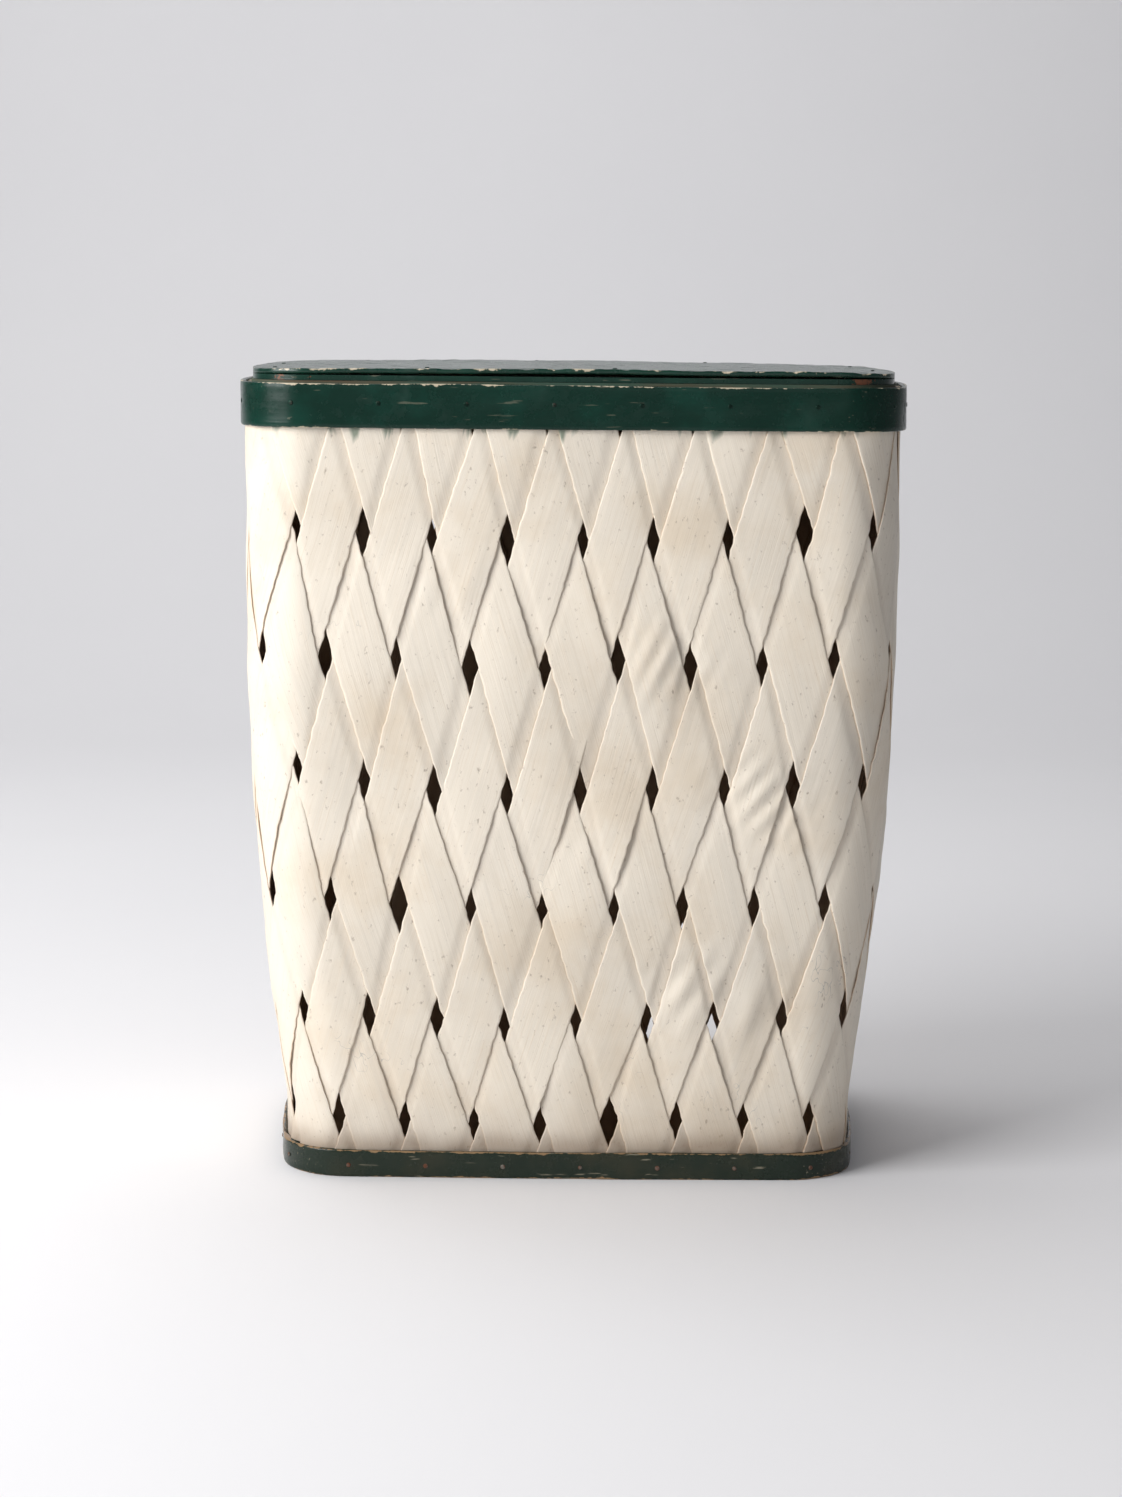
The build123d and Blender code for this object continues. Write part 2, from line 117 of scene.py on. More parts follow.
@dataclass(frozen=True)
class Outline:
    """Rounded rectangles with bowed ends and faces, one for each height."""

    half_width: np.ndarray
    half_depth: np.ndarray
    corner: float = 47.0
    end_bow: float = 800.0
    face_bow: float = 6500.0

    def grown(self, distance: float) -> "Outline":
        """The parallel outline that lies outside by a distance."""
        sizes = (self.half_width, self.half_depth, self.corner, self.end_bow, self.face_bow)
        return Outline(*(size + distance for size in sizes))

    def corner_centre(self) -> tuple[np.ndarray, np.ndarray]:
        """Finds the centre of the front right corner arc.

        Returns:
            Its x and y.
        """
        face_y = self.face_bow - self.half_depth
        end_x = self.half_width - self.end_bow
        to_face = self.face_bow - self.corner
        to_end = self.end_bow - self.corner
        apart = np.hypot(end_x, face_y)
        along = (to_face**2 - to_end**2 + apart**2) / (2 * apart)
        aside = np.sqrt(to_face**2 - along**2)
        ux, uy = end_x / apart, -face_y / apart
        return along * ux - aside * uy, face_y + along * uy + aside * ux

    def sweeps(self) -> tuple[np.ndarray, np.ndarray]:
        """Works out the half angles of the face arc and of the end arc.

        Returns:
            The two half angles, in radians.
        """
        x, y = self.corner_centre()
        face = np.arctan2(x, self.face_bow - self.half_depth - y)
        end = np.arctan2(-y, x - self.half_width + self.end_bow)
        return face, end

    def quarter(self) -> np.ndarray:
        """Length from the middle of the face to the middle of the end."""
        face, end = self.sweeps()
        return self.face_bow * face + self.corner * (math.pi / 2 - face - end) + self.end_bow * end

    def girth(self) -> np.ndarray:
        """Length once round."""
        return 4 * self.quarter()

    def at(self, station: np.ndarray) -> tuple[np.ndarray, np.ndarray, np.ndarray]:
        """Finds places on the outline.

        Args:
            station: Lengths counted from the front middle towards +X.

        Returns:
            x, y and the outward angle of each place.
        """
        quarter = self.quarter()
        station = np.mod(station, 4 * quarter)
        behind = station > 2 * quarter
        station = np.where(behind, station - 2 * quarter, station)
        back = station > quarter
        station = np.where(back, 2 * quarter - station, station)
        face, end = self.sweeps()
        cx, cy = self.corner_centre()
        face_length = self.face_bow * face
        corner_length = self.corner * (math.pi / 2 - face - end)
        on_arcs = [station <= face_length, station <= face_length + corner_length]
        by_face = station / self.face_bow - math.pi / 2
        by_corner = face - math.pi / 2 + (station - face_length) / self.corner
        by_end = -end + (station - face_length - corner_length) / self.end_bow
        angle = np.select(on_arcs, [by_face, by_corner], by_end)
        radius = np.select(on_arcs, [self.face_bow, self.corner], self.end_bow)
        x = np.select(on_arcs, [0.0, cx], self.half_width - self.end_bow) + radius * np.cos(angle)
        y = np.select(on_arcs, [self.face_bow - self.half_depth, cy], 0.0) + radius * np.sin(angle)
        y, angle = np.where(back, -y, y), np.where(back, -angle, angle)
        return np.where(behind, -x, x), np.where(behind, -y, y), np.where(behind, angle + math.pi, angle)

    def points(self, station: np.ndarray, away: np.ndarray, height: np.ndarray) -> np.ndarray:
        """Places points that stand off the outline.

        Args:
            station: Lengths counted from the front middle towards +X.
            away: How far each point stands off outwards.
            height: Heights above the floor.

        Returns:
            The points, with x, y and z along the last axis.
        """
        x, y, angle = self.at(station)
        return np.stack([x + away * np.cos(angle), y + away * np.sin(angle), height], axis=-1)


@dataclass(frozen=True)
class WallSizes:
    """Sizes of the woven wall, as in the CAD model."""

    width_at_rim: float = 499.0
    width_at_foot: float = 440.0
    depth_at_rim: float = 314.0
    depth_at_foot: float = 302.0
    straight_above: float = 430.0
    straight_below: float = 52.0
    splints: int = 28
    gap: float = 7.4
    thickness: float = 1.5
    clearance: float = 0.65
    seat: float = 0.15
    foot: float = 1.0
    top: float = 595.5
    rim_bottom: float = 565.0
    rim_top: float = 597.0
    start: float = 5.0
    lean: float = 2.5
    foot_spread: float = 6.0
    lowest_row: float = 44.8
    top_row: float = 580.0
    climb_shares: tuple[float, ...] = (0.1476, 0.1616, 0.1691, 0.1749, 0.1734, 0.1734)

    @property
    def rows(self) -> np.ndarray:
        """Heights of the rows of crossings."""
        climbed = np.concatenate([[0.0], np.cumsum(self.climb_shares)])
        return self.lowest_row + (self.top_row - self.lowest_row) * climbed

    @property
    def lift(self) -> float:
        """How far the middle of a splint lies off the middle of the weave where it crosses another."""
        return (self.thickness + self.clearance) / 2

    @property
    def reach(self) -> float:
        """How far the weave reaches to each side of its middle."""
        return self.lift + self.thickness / 2

    def drawn_in(self, height: np.ndarray) -> np.ndarray:
        """How far the wall is drawn in at each height, from 0 by the rim to 1 by the foot."""
        run = self.straight_above - self.straight_below
        return (np.clip(self.straight_above - np.asarray(height, float), 0.0, run) / run) ** 2

    def wall(self, height: np.ndarray) -> Outline:
        """Finds the outline of the middle of the weave.

        Args:
            height: Heights above the floor.

        Returns:
            The outline at each height.
        """
        drawn_in = self.drawn_in(height)
        return Outline(
            (self.width_at_rim - (self.width_at_rim - self.width_at_foot) * drawn_in) / 2,
            (self.depth_at_rim - (self.depth_at_rim - self.depth_at_foot) * drawn_in) / 2,
        )

    def level(self, rows_up: np.ndarray) -> np.ndarray:
        """Finds the heights of places counted in rows.

        Args:
            rows_up: Rows above the lowest whole row.

        Returns:
            Heights above the floor.
        """
        rows = self.rows
        row = np.clip(np.floor(rows_up).astype(int), 0, len(rows) - 2)
        return rows[row] + (rows_up - row) * (rows[row + 1] - rows[row])

    def ends(self) -> tuple[float, float]:
        """Finds where the splints end.

        Returns:
            Their lower and upper ends, counted in rows.
        """
        rows = self.rows
        low = (self.foot - rows[0]) / (rows[1] - rows[0])
        return low, len(rows) - 1 + (self.top - rows[-1]) / (rows[-1] - rows[-2])

    def width_share(self) -> float:
        """How much of the pitch a splint fills, from 0 to 1."""
        return 1 - self.gap / float(self.wall(self.rows[-1]).girth() / self.splints)


def new_object(name: str, data: bpy.types.ID) -> bpy.types.Object:
    """Makes an object of a mesh, lamp or camera and links it to the scene."""
    obj = bpy.data.objects.new(name, data)
    bpy.context.scene.collection.objects.link(obj)
    return obj


def smooth_object(name: str, source: bmesh.types.BMesh) -> bpy.types.Object:
    """Makes a smoothly shaded object and frees what it was made from.

    Args:
        name: Its name.
        source: Its faces.

    Returns:
        The object.
    """
    data = bpy.data.meshes.new(name)
    source.to_mesh(data)
    source.free()
    data.polygons.foreach_set("use_smooth", np.ones(len(data.polygons), bool))
    return new_object(name, data)


def seat(obj: bpy.types.Object, body: str, slot: Slot, *nodes: str) -> bpy.types.Object:
    """Puts a finished piece on its body in place of its CAD nodes.

    Args:
        obj: The piece.
        body: The body that carries it.
        slot: Its material slot in the record. Not used.
        *nodes: The nodes that it stands for.

    Returns:
        The piece.
    """
    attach(obj, body)
    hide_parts(*nodes)
    return obj


class LoftMesh:
    """A mesh of closed strips. Each is lofted through rings that run over the strip and back under it."""

    def __init__(self, name: str) -> None:
        """Starts an empty mesh for an object of that name."""
        self.name = name
        self.points: list[np.ndarray] = []
        self.faces: list[np.ndarray] = []
        self.uvs: list[np.ndarray] = []
        self.layers: dict[str, list[np.ndarray]] = {}
        self.count = 0

    def add(
        self,
        over: np.ndarray,
        under: np.ndarray,
        uv: tuple[np.ndarray, np.ndarray],
        flip: bool = False,
        **layers: tuple[np.ndarray | float, float],
    ) -> None:
        """Adds one closed strip.

        Args:
            over: Points of the outer side, shaped (rings, points across, 3).
            under: Points of the inner side, in the same order.
            uv: Places across the grain and along it.
            flip: Whether the faces are turned round.
            **layers: Values on the outer side and the value on the inner side, by the attribute's name.
        """
        rings = np.concatenate([over, under[:, ::-1]], axis=1) * MM
        n, p = rings.shape[:2]
        index = np.arange(n * p).reshape(n, p) + self.count
        after = np.roll(index, -1, axis=1)
        sides = np.stack([index[:-1], after[:-1], after[1:], index[1:]], axis=-1).reshape(-1, 4)
        top, base = index[:, : p // 2], index[:, ::-1][:, : p // 2]
        first = np.stack([base[0, :-1], base[0, 1:], top[0, 1:], top[0, :-1]], axis=-1)
        last = np.stack([top[-1, :-1], top[-1, 1:], base[-1, 1:], base[-1, :-1]], axis=-1)
        faces = np.concatenate([sides, first, last])
        self.faces.append(faces[:, ::-1] if flip else faces)
        self.points.append(rings.reshape(-1, 3))
        shape = over.shape[:2]
        surface = np.stack([np.broadcast_to(values, shape) for values in uv], axis=-1) * MM
        self.uvs.append(np.concatenate([surface, surface[:, ::-1]], axis=1).reshape(-1, 2))
        for key, (outside, inside) in layers.items():
            values = np.concatenate([np.broadcast_to(outside, shape), np.full(shape, inside)], axis=1)
            self.layers.setdefault(key, []).append(values.reshape(-1))
        self.count += n * p

    def build(self) -> bpy.types.Object:
        """Makes the object.

        Returns:
            The new object, linked to the scene.
        """
        points, faces, uvs = map(np.concatenate, (self.points, self.faces, self.uvs))
        mesh = bpy.data.meshes.new(self.name)
        mesh.vertices.add(len(points))
        mesh.vertices.foreach_set("co", points.astype(np.float32).ravel())
        mesh.loops.add(faces.size)
        mesh.loops.foreach_set("vertex_index", faces.astype(np.int32).ravel())
        mesh.polygons.add(len(faces))
        mesh.polygons.foreach_set("loop_start", np.arange(0, faces.size, 4, dtype=np.int32))
        mesh.update(calc_edges=True)
        layer = mesh.uv_layers.new(name="surface")
        layer.data.foreach_set("uv", uvs[faces.ravel()].astype(np.float32).ravel())
        for key, values in self.layers.items():
            attribute = mesh.attributes.new(key, "FLOAT", "POINT")
            attribute.data.foreach_set("value", np.concatenate(values).astype(np.float32))
        mesh.polygons.foreach_set("use_smooth", np.ones(len(faces), bool))
        mesh.validate()
        return new_object(self.name, mesh)


def srgb(red: int, green: int, blue: int) -> Colour:
    """Turns display numbers into a linear colour.

    Args:
        red: Red from 0 to 255.
        green: Green from 0 to 255.
        blue: Blue from 0 to 255.

    Returns:
        The linear colour.
    """
    values = [v / 255 for v in (red, green, blue)]
    r, g, b = (v / 12.92 if v <= 0.04045 else ((v + 0.055) / 1.055) ** 2.4 for v in values)
    return (r, g, b)


def rgba(colour: Colour | Socket) -> tuple[float, ...] | Socket:
    """A colour with full alpha, or the socket that brings one."""
    return (*colour, 1.0) if isinstance(colour, tuple) else colour


class Shader:
    """A small writer of node trees, for a material or for a group. Its lengths are in metres."""

    def __init__(self, tree: bpy.types.NodeTree) -> None:
        """Wraps the node tree to write in."""
        self.tree = tree

    def set(self, node: bpy.types.Node, key: str | int, value: object) -> None:
        """Sets or links one input.

        Args:
            node: The node.
            key: Name or number of the input.
            value: A value, or the output socket to link.
        """
        socket = node.inputs[key]
        if isinstance(value, Socket):
            self.tree.links.new(value, socket)
        else:
            socket.default_value = value

    def fill(self, node: bpy.types.Node, **sockets: object) -> None:
        """Sets or links inputs by name, where underscores stand for spaces."""
        for key, value in sockets.items():
            self.set(node, key.replace("_", " "), value)

    def node(self, kind: str, settings: dict | None = None, **sockets: object) -> bpy.types.Node:
        """Adds a node.

        Args:
            kind: Its type, without the ShaderNode prefix.
            settings: Properties of the node.
            **sockets: Values or output sockets for its inputs.

        Returns:
            The node.
        """
        node = self.tree.nodes.new("ShaderNode" + kind)
        for key, value in (settings or {}).items():
            setattr(node, key, value)
        self.fill(node, **sockets)
        return node

    def math(self, operation: str, a: object, b: object = 0.0, clamp: bool = False) -> Socket:
        """Works on two varying values.

        Args:
            operation: The operation's name.
            a: First value or socket.
            b: Second value or socket.
            clamp: Whether the result is kept from 0 to 1.

        Returns:
            The result's socket.
        """
        node = self.node("Math", {"operation": operation, "use_clamp": clamp})
        self.set(node, 0, a)
        self.set(node, 1, b)
        return node.outputs[0]

    def ramp(
        self,
        value: Socket,
        low: float,
        high: float,
        to: tuple[float, float] = (0.0, 1.0),
        kind: str = "SMOOTHSTEP",
    ) -> Socket:
        """Turns a varying value into a mask.

        Args:
            value: The varying value.
            low: Where the mask starts.
            high: Where the mask is whole.
            to: What the mask is before its start and where it is whole.
            kind: The way between them.

        Returns:
            The mask's socket.
        """
        limits = {"From_Min": low, "From_Max": high, "To_Min": to[0], "To_Max": to[1]}
        return self.node("MapRange", {"interpolation_type": kind}, Value=value, **limits).outputs["Result"]

    def mix(self, mask: object, a: Colour | Socket, b: Colour | Socket, share: float = 1.0) -> Socket:
        """Mixes two colours by a varying mask.

        Args:
            mask: The mask.
            a: Colour where the mask is 0.
            b: Colour where the mask is 1.
            share: How much of the second colour comes through there.

        Returns:
            The colour's socket.
        """
        node = self.node("Mix", {"data_type": "RGBA", "clamp_factor": True})
        self.set(node, 0, mask if share == 1.0 else self.math("MULTIPLY", mask, share))
        # The sockets for colours come after those for numbers and vectors
        self.set(node, 6, rgba(a))
        self.set(node, 7, rgba(b))
        return node.outputs[2]

    def noise(self, vector: Socket, scale: float, detail: float, rough: float) -> Socket:
        """Adds a noise value.

        Args:
            vector: Coordinates.
            scale: Waves for each unit of them.
            detail: Number of finer layers.
            rough: Strength of the finer layers.

        Returns:
            The value's socket.
        """
        node = self.node("TexNoise", Vector=vector, Scale=scale, Detail=detail, Roughness=rough)
        return node.outputs["Fac"]

    def stretch(self, vector: Socket, scale: Triple) -> Socket:
        """Coordinates scaled along each axis."""
        return self.node("Mapping", Vector=vector, Scale=scale).outputs[0]

    def attribute(self, name: str) -> Socket:
        """A value kept on the mesh."""
        return self.node("Attribute", {"attribute_name": name}).outputs["Fac"]

    def place(self) -> Socket:
        """Coordinates of the piece."""
        return self.node("TexCoord").outputs["Object"]

    def surface(self) -> Socket:
        """Coordinates along the surface: across the grain, then along it."""
        return self.node("UVMap", {"uv_map": "surface"}).outputs[0]

    def bump(self, height: Socket, strength: float, distance: float, **normal: Socket) -> Socket:
        """Makes bumps from a varying height.

        Args:
            height: The height.
            strength: How strong, from 0 to 1.
            distance: Depth of a full height.
            **normal: Normal from an earlier bump, where there is one.

        Returns:
            The normal's socket.
        """
        return self.node("Bump", Strength=strength, Distance=distance, Height=height, **normal).outputs[0]

    def group(self, tree: bpy.types.NodeTree, **sockets: object) -> Sockets:
        """Places a shared effect.

        Args:
            tree: The effect's group.
            **sockets: Values or sockets for its inputs.

        Returns:
            Its outputs by name.
        """
        node = self.node("Group", {"node_tree": tree}, **sockets)
        return {socket.name: socket for socket in node.outputs}


class Effects:
    """Shared shader effects. Each is a node group that is built once.

    The methods that write them take the group's writer and inputs, and return its outputs by name.
    """

    def __init__(self) -> None:
        """Builds the groups."""
        self.grain = self._group("wood_grain", self._grain, "Vector", "Scale")
        self.stain = self._group("stains", self._stain, "Vector", "Scale")
        self.chips = self._group("chips", self._chips, "Vector", "Edge")
        self.dust = self._group("dust", self._dust, "Vector")
        self.pencil = self._group("pencil_marks", self._pencil, "Vector")

    @staticmethod
    def _group(name: str, write: Callable[[Shader, Sockets], Sockets], *inputs: str) -> bpy.types.NodeTree:
        """Makes one group.

        Args:
            name: The group's name.
            write: The method that writes it.
            *inputs: The inputs' names.

        Returns:
            The group's tree.
        """
        tree = bpy.data.node_groups.new(name, "ShaderNodeTree")
        for key in inputs:
            kind = "NodeSocketVector" if key == "Vector" else "NodeSocketFloat"
            tree.interface.new_socket(key, in_out="INPUT", socket_type=kind)
        source = tree.nodes.new("NodeGroupInput")
        outputs = write(Shader(tree), {key: source.outputs[key] for key in inputs})
        sink = tree.nodes.new("NodeGroupOutput")
        for key, socket in outputs.items():
            tree.interface.new_socket(key, in_out="OUTPUT", socket_type="NodeSocketFloat")
            tree.links.new(socket, sink.inputs[key])
        return tree

    @staticmethod
    def _scaled(s: Shader, given: Sockets, waves: Triple, detail: float, rough: float) -> Socket:
        """Makes noise that the group's Scale input makes finer.

        Args:
            s: The group's writer.
            given: The group's inputs.
            waves: Waves for each metre along each axis.
            detail: Number of finer layers.
            rough: Strength of the finer layers.

        Returns:
            The value's socket.
        """
        node = s.node("VectorMath", {"operation": "SCALE"}, Scale=given["Scale"])
        s.set(node, 0, s.stretch(given["Vector"], waves))
        return s.noise(node.outputs[0], scale=1.0, detail=detail, rough=rough)

    @classmethod
    def _grain(cls, s: Shader, given: Sockets) -> Sockets:
        """Fine and broad streaks along the second coordinate."""
        fine = cls._scaled(s, given, (900.0, 14.0, 900.0), detail=3.0, rough=0.6)
        return {"Fine": fine, "Broad": cls._scaled(s, given, (140.0, 5.0, 140.0), detail=4.0, rough=0.55)}

    @classmethod
    def _stain(cls, s: Shader, given: Sockets) -> Sockets:
        """Cloudy patches and small specks."""
        cloud = cls._scaled(s, given, (11.0, 8.0, 11.0), detail=5.0, rough=0.6)
        specks = cls._scaled(s, given, (300.0, 300.0, 190.0), detail=3.0, rough=0.6)
        return {"Cloud": s.ramp(cloud, 0.42, 0.72), "Specks": s.ramp(specks, 0.62, 0.78)}

    @staticmethod
    def _chips(s: Shader, given: Sockets) -> Sockets:
        """Paint that is gone along an edge, with a ragged border."""
        ragged = s.noise(given["Vector"], scale=170.0, detail=6.0, rough=0.65)
        large = s.noise(given["Vector"], scale=28.0, detail=3.0, rough=0.5)
        reach = s.math("SUBTRACT", s.math("ADD", ragged, large), given["Edge"])
        return {"Mask": s.ramp(reach, 0.0, 0.06)}

    @staticmethod
    def _pencil(s: Shader, given: Sockets) -> Sockets:
        """Thin scribbled lines in a few patches."""
        lines = s.noise(s.stretch(given["Vector"], (70.0, 70.0, 45.0)), scale=1.0, detail=2.0, rough=0.5)
        off = s.math("ABSOLUTE", s.math("SUBTRACT", lines, 0.5))
        patches = s.ramp(s.noise(given["Vector"], scale=9.0, detail=2.0, rough=0.5), 0.63, 0.68)
        return {"Mask": s.math("MULTIPLY", s.ramp(off, 0.006, 0.0), patches)}

    @staticmethod
    def _dust(s: Shader, given: Sockets) -> Sockets:
        """Thin scratches and dust."""
        scratch = s.noise(s.stretch(given["Vector"], (30.0, 900.0, 420.0)), scale=1.0, detail=2.0, rough=0.5)
        dust = s.noise(given["Vector"], scale=60.0, detail=5.0, rough=0.7)
        return {"Scratch": s.ramp(scratch, 0.68, 0.72), "Dust": s.ramp(dust, 0.5, 0.8)}


def new_material(name: str) -> tuple[bpy.types.Material, Shader, bpy.types.Node]:
    """Starts a material.

    Args:
        name: Its name.

    Returns:
        The material, a writer for its tree and its Principled shader.
    """
    material = bpy.data.materials.new(name)
    material.use_nodes = True
    tree = material.node_tree
    principled = next(n for n in tree.nodes if n.type == "BSDF_PRINCIPLED")
    return material, Shader(tree), principled


@dataclass(frozen=True)
class CreamSplint:
    """Old cream paint on wide splints, with stains, brushed grain, pencil marks, painted shade by the
    crossings and darkening towards the foot.
    """

    paint: Colour = srgb(233, 223, 207)
    warm: Colour = srgb(214, 194, 166)
    grey: Colour = srgb(196, 190, 180)
    # Colour of the dirt specks, of the painted shade by the crossings and of the darkening towards the foot
    dirt_and_shade: Colour = srgb(112, 84, 58)
    pencil: Colour = srgb(120, 124, 128)
    wood: Colour = srgb(176, 138, 98)
    green: Colour = srgb(40, 88, 66)
    roughness: tuple[float, float] = (0.42, 0.66)

    def make(self, effects: Effects, name: str) -> bpy.types.Material:
        """Writes the material.

        Args:
            effects: The shared effects.
            name: The material's name.

        Returns:
            The material.
        """
        material, s, bsdf = new_material(name)
        place = s.place()
        grain = s.group(effects.grain, Vector=s.surface(), Scale=1.0)
        stain = s.group(effects.stain, Vector=place, Scale=1.0)
        marks = s.group(effects.pencil, Vector=place)
        colour: Colour | Socket = self.paint
        for mask, share, tint in (
            (stain["Cloud"], 0.5, self.warm),
            (s.ramp(grain["Broad"], 0.45, 0.8), 0.2, self.grey),
            (s.ramp(grain["Fine"], 0.5, 0.8), 0.42, self.warm),
            (marks["Mask"], 0.5, self.pencil),
            (s.attribute("tone"), 0.35, self.grey),
            (stain["Specks"], 0.5, self.dirt_and_shade),
            # Painted shade by the crossings, and darkening towards the foot
            (s.attribute("grime"), 1.0, self.dirt_and_shade),
            (s.attribute("slop"), 1.0, self.green),
            (s.attribute("bare"), 1.0, self.wood),
        ):
            colour = s.mix(mask, colour, tint, share)
        rough = s.ramp(grain["Broad"], 0.0, 1.0, self.roughness, "LINEAR")
        fine = s.bump(grain["Fine"], strength=0.35, distance=0.0004)
        normal = s.bump(grain["Broad"], strength=0.4, distance=0.0008, Normal=fine)
        s.fill(bsdf, Base_Color=colour, Roughness=rough, Normal=normal)
        return material


@dataclass(frozen=True)
class GreenPaint:
    """Glossy dark green paint, chipped to bare wood and old primer along its edges.

    broken holds the spots at the front where an edge is torn off: the x of the middle of each and half
    of its width, in metres.
    """

    paint: Colour = srgb(6, 46, 35)
    light: Colour = srgb(20, 74, 58)
    bare: Colour = srgb(190, 178, 154)
    wood: Colour = srgb(138, 112, 82)
    splinter: Colour = srgb(120, 74, 50)
    wear: float = 0.0
    specular: float = 0.5
    chipped: bool = True
    broken: tuple[tuple[float, float], ...] = ()
    # How far a torn border strays, where it fades past its spot, and where the front ends, in metres
    ragged: float = 0.024
    torn: tuple[float, float] = (0.0125, 0.0105)
    front: tuple[float, float] = (-0.131, -0.134)

    def _tear(self, s: Shader, place: Socket, colour: Socket) -> Socket:
        """Shows raw wood in the broken spots.

        Args:
            s: The material's writer.
            place: Coordinates of the piece.
            colour: The painted colour.

        Returns:
            The colour's socket.
        """
        apart = s.node("SeparateXYZ", Vector=place).outputs
        stray = s.math("MULTIPLY", s.noise(place, scale=420.0, detail=5.0, rough=0.7), self.ragged)
        at_front = s.ramp(s.math("ADD", apart["Y"], stray), *self.front)
        for middle, reach in self.broken:
            off = s.math("ABSOLUTE", s.math("SUBTRACT", apart["X"], middle))
            torn = s.ramp(s.math("ADD", off, stray), reach + self.torn[0], reach + self.torn[1])
            colour = s.mix(s.math("MULTIPLY", torn, at_front), colour, self.splinter)
        return colour

    def make(self, effects: Effects, name: str) -> bpy.types.Material:
        """Writes the material.

        Args:
            effects: The shared effects.
            name: The material's name.

        Returns:
            The material.
        """
        material, s, bsdf = new_material(name)
        place = s.place()
        stain = s.group(effects.stain, Vector=place, Scale=2.2)
        grain = s.group(effects.grain, Vector=s.stretch(place, (0.06, 0.06, 1.0)), Scale=0.7)
        dust = s.group(effects.dust, Vector=place)
        colour = s.mix(stain["Cloud"], self.paint, self.light, share=0.4)
        colour = s.mix(dust["Scratch"], colour, self.bare, share=0.14 + self.wear)
        if self.chipped:
            chips = s.group(effects.chips, Vector=place, Edge=s.attribute("edge"))
            colour = s.mix(chips["Mask"], colour, self.wood if self.wear else self.bare)
        if self.broken:
            colour = self._tear(s, place, colour)
        rough = s.ramp(dust["Dust"], -1.2, 2.4)
        normal = s.bump(grain["Broad"], strength=0.5, distance=0.0006)
        s.fill(bsdf, Base_Color=colour, Specular_IOR_Level=self.specular, Roughness=rough, Normal=normal)
        return material


@dataclass(frozen=True)
class PlainWood:
    """Unpainted or thinly stained wood with its grain."""

    light: Colour = srgb(178, 140, 98)
    dark: Colour = srgb(112, 78, 50)
    roughness: float = 0.7

    def make(self, effects: Effects, name: str) -> bpy.types.Material:
        """Writes the material.

        Args:
            effects: The shared effects.
            name: The material's name.

        Returns:
            The material.
        """
        material, s, bsdf = new_material(name)
        grain = s.group(effects.grain, Vector=s.stretch(s.place(), (0.1, 0.3, 1.0)), Scale=1.0)
        colour = s.mix(s.ramp(grain["Broad"], 0.3, 0.75), self.light, self.dark)
        normal = s.bump(grain["Broad"], strength=0.4, distance=0.0006)
        s.fill(bsdf, Base_Color=colour, Roughness=self.roughness, Normal=normal)
        return material


@dataclass(frozen=True)
class OldMetal:
    """Dull steel, or metal under paint, with rust on a share of it."""

    steel: Colour = srgb(120, 114, 106)
    rust: Colour = srgb(92, 52, 30)
    share: float = 0.5

    def make(self, name: str) -> bpy.types.Material:
        """Writes the material.

        Args:
            name: The material's name.

        Returns:
            The material.
        """
        material, s, bsdf = new_material(name)
        spread = 0.35 * self.share
        rust = s.ramp(s.noise(s.place(), scale=240.0, detail=5.0, rough=0.65), 0.62 - spread, 0.8 - spread)
        metallic = s.math("SUBTRACT", 0.9, rust, clamp=True)
        s.fill(bsdf, Base_Color=s.mix(rust, self.steel, self.rust), Metallic=metallic)
        s.fill(bsdf, Roughness=s.ramp(rust, -1.0, 1.6), Normal=s.bump(rust, strength=0.4, distance=0.0003))
        return material


@dataclass(frozen=True)
class OddGap:
    """A gap of the front's weave that is clearly wider or out of place in the photograph.

    Rows count up from the lowest whole one, and places in half pitches from the middle to the right.
    """

    row: int
    place: int
    aside: float
    up: float
    wider: float


ODD_GAPS = (
    OddGap(0, 1, 0.4, -0.6, 6.8),
    OddGap(1, -4, -0.4, -1.7, 3.0),
    OddGap(1, 2, 1.5, -4.8, 3.0),
    OddGap(2, -5, -1.4, -0.2, 6.8),
    OddGap(3, -8, 5.0, 12.0, 0.1),
    OddGap(3, -4, -0.9, -4.6, 4.5),
    OddGap(3, -2, 0.1, -7.8, 2.3),
    OddGap(4, -3, -1.2, -5.6, 5.3),
    OddGap(4, -1, 0.6, -5.8, 1.6),
    OddGap(4, 1, 0.9, 1.4, 3.8),
    OddGap(5, -8, 4.6, 5.5, -0.7),
    OddGap(5, -4, -3.1, -1.5, 0.1),
    OddGap(5, -2, -1.6, -4.0, 3.8),
    OddGap(5, 6, 2.8, 3.7, 5.3),
)


@dataclass(frozen=True)
class Crease:
    """A buckled patch of the front's weave, whose creases are turned up from level by some degrees."""

    x: float
    z: float
    turn: float
    length: float = 26.0
    breadth: float = 30.0
    pitch: float = 15.0
    depth: float = 0.45
    bulge: float = 1.2

    def swell(self, x: np.ndarray, height: np.ndarray) -> np.ndarray:
        """Works out how far the patch stands out.

        Args:
            x: Places across the front.
            height: Heights above the floor.

        Returns:
            How far each place stands out.
        """
        turn = math.radians(self.turn)
        along = (x - self.x) * math.cos(turn) + (height - self.z) * math.sin(turn)
        aside = (height - self.z) * math.cos(turn) - (x - self.x) * math.sin(turn)
        window = np.exp(-((along / self.length) ** 2) - (aside / self.breadth) ** 2)
        return window * (self.bulge + self.depth * np.sin(2 * math.pi * aside / self.pitch))


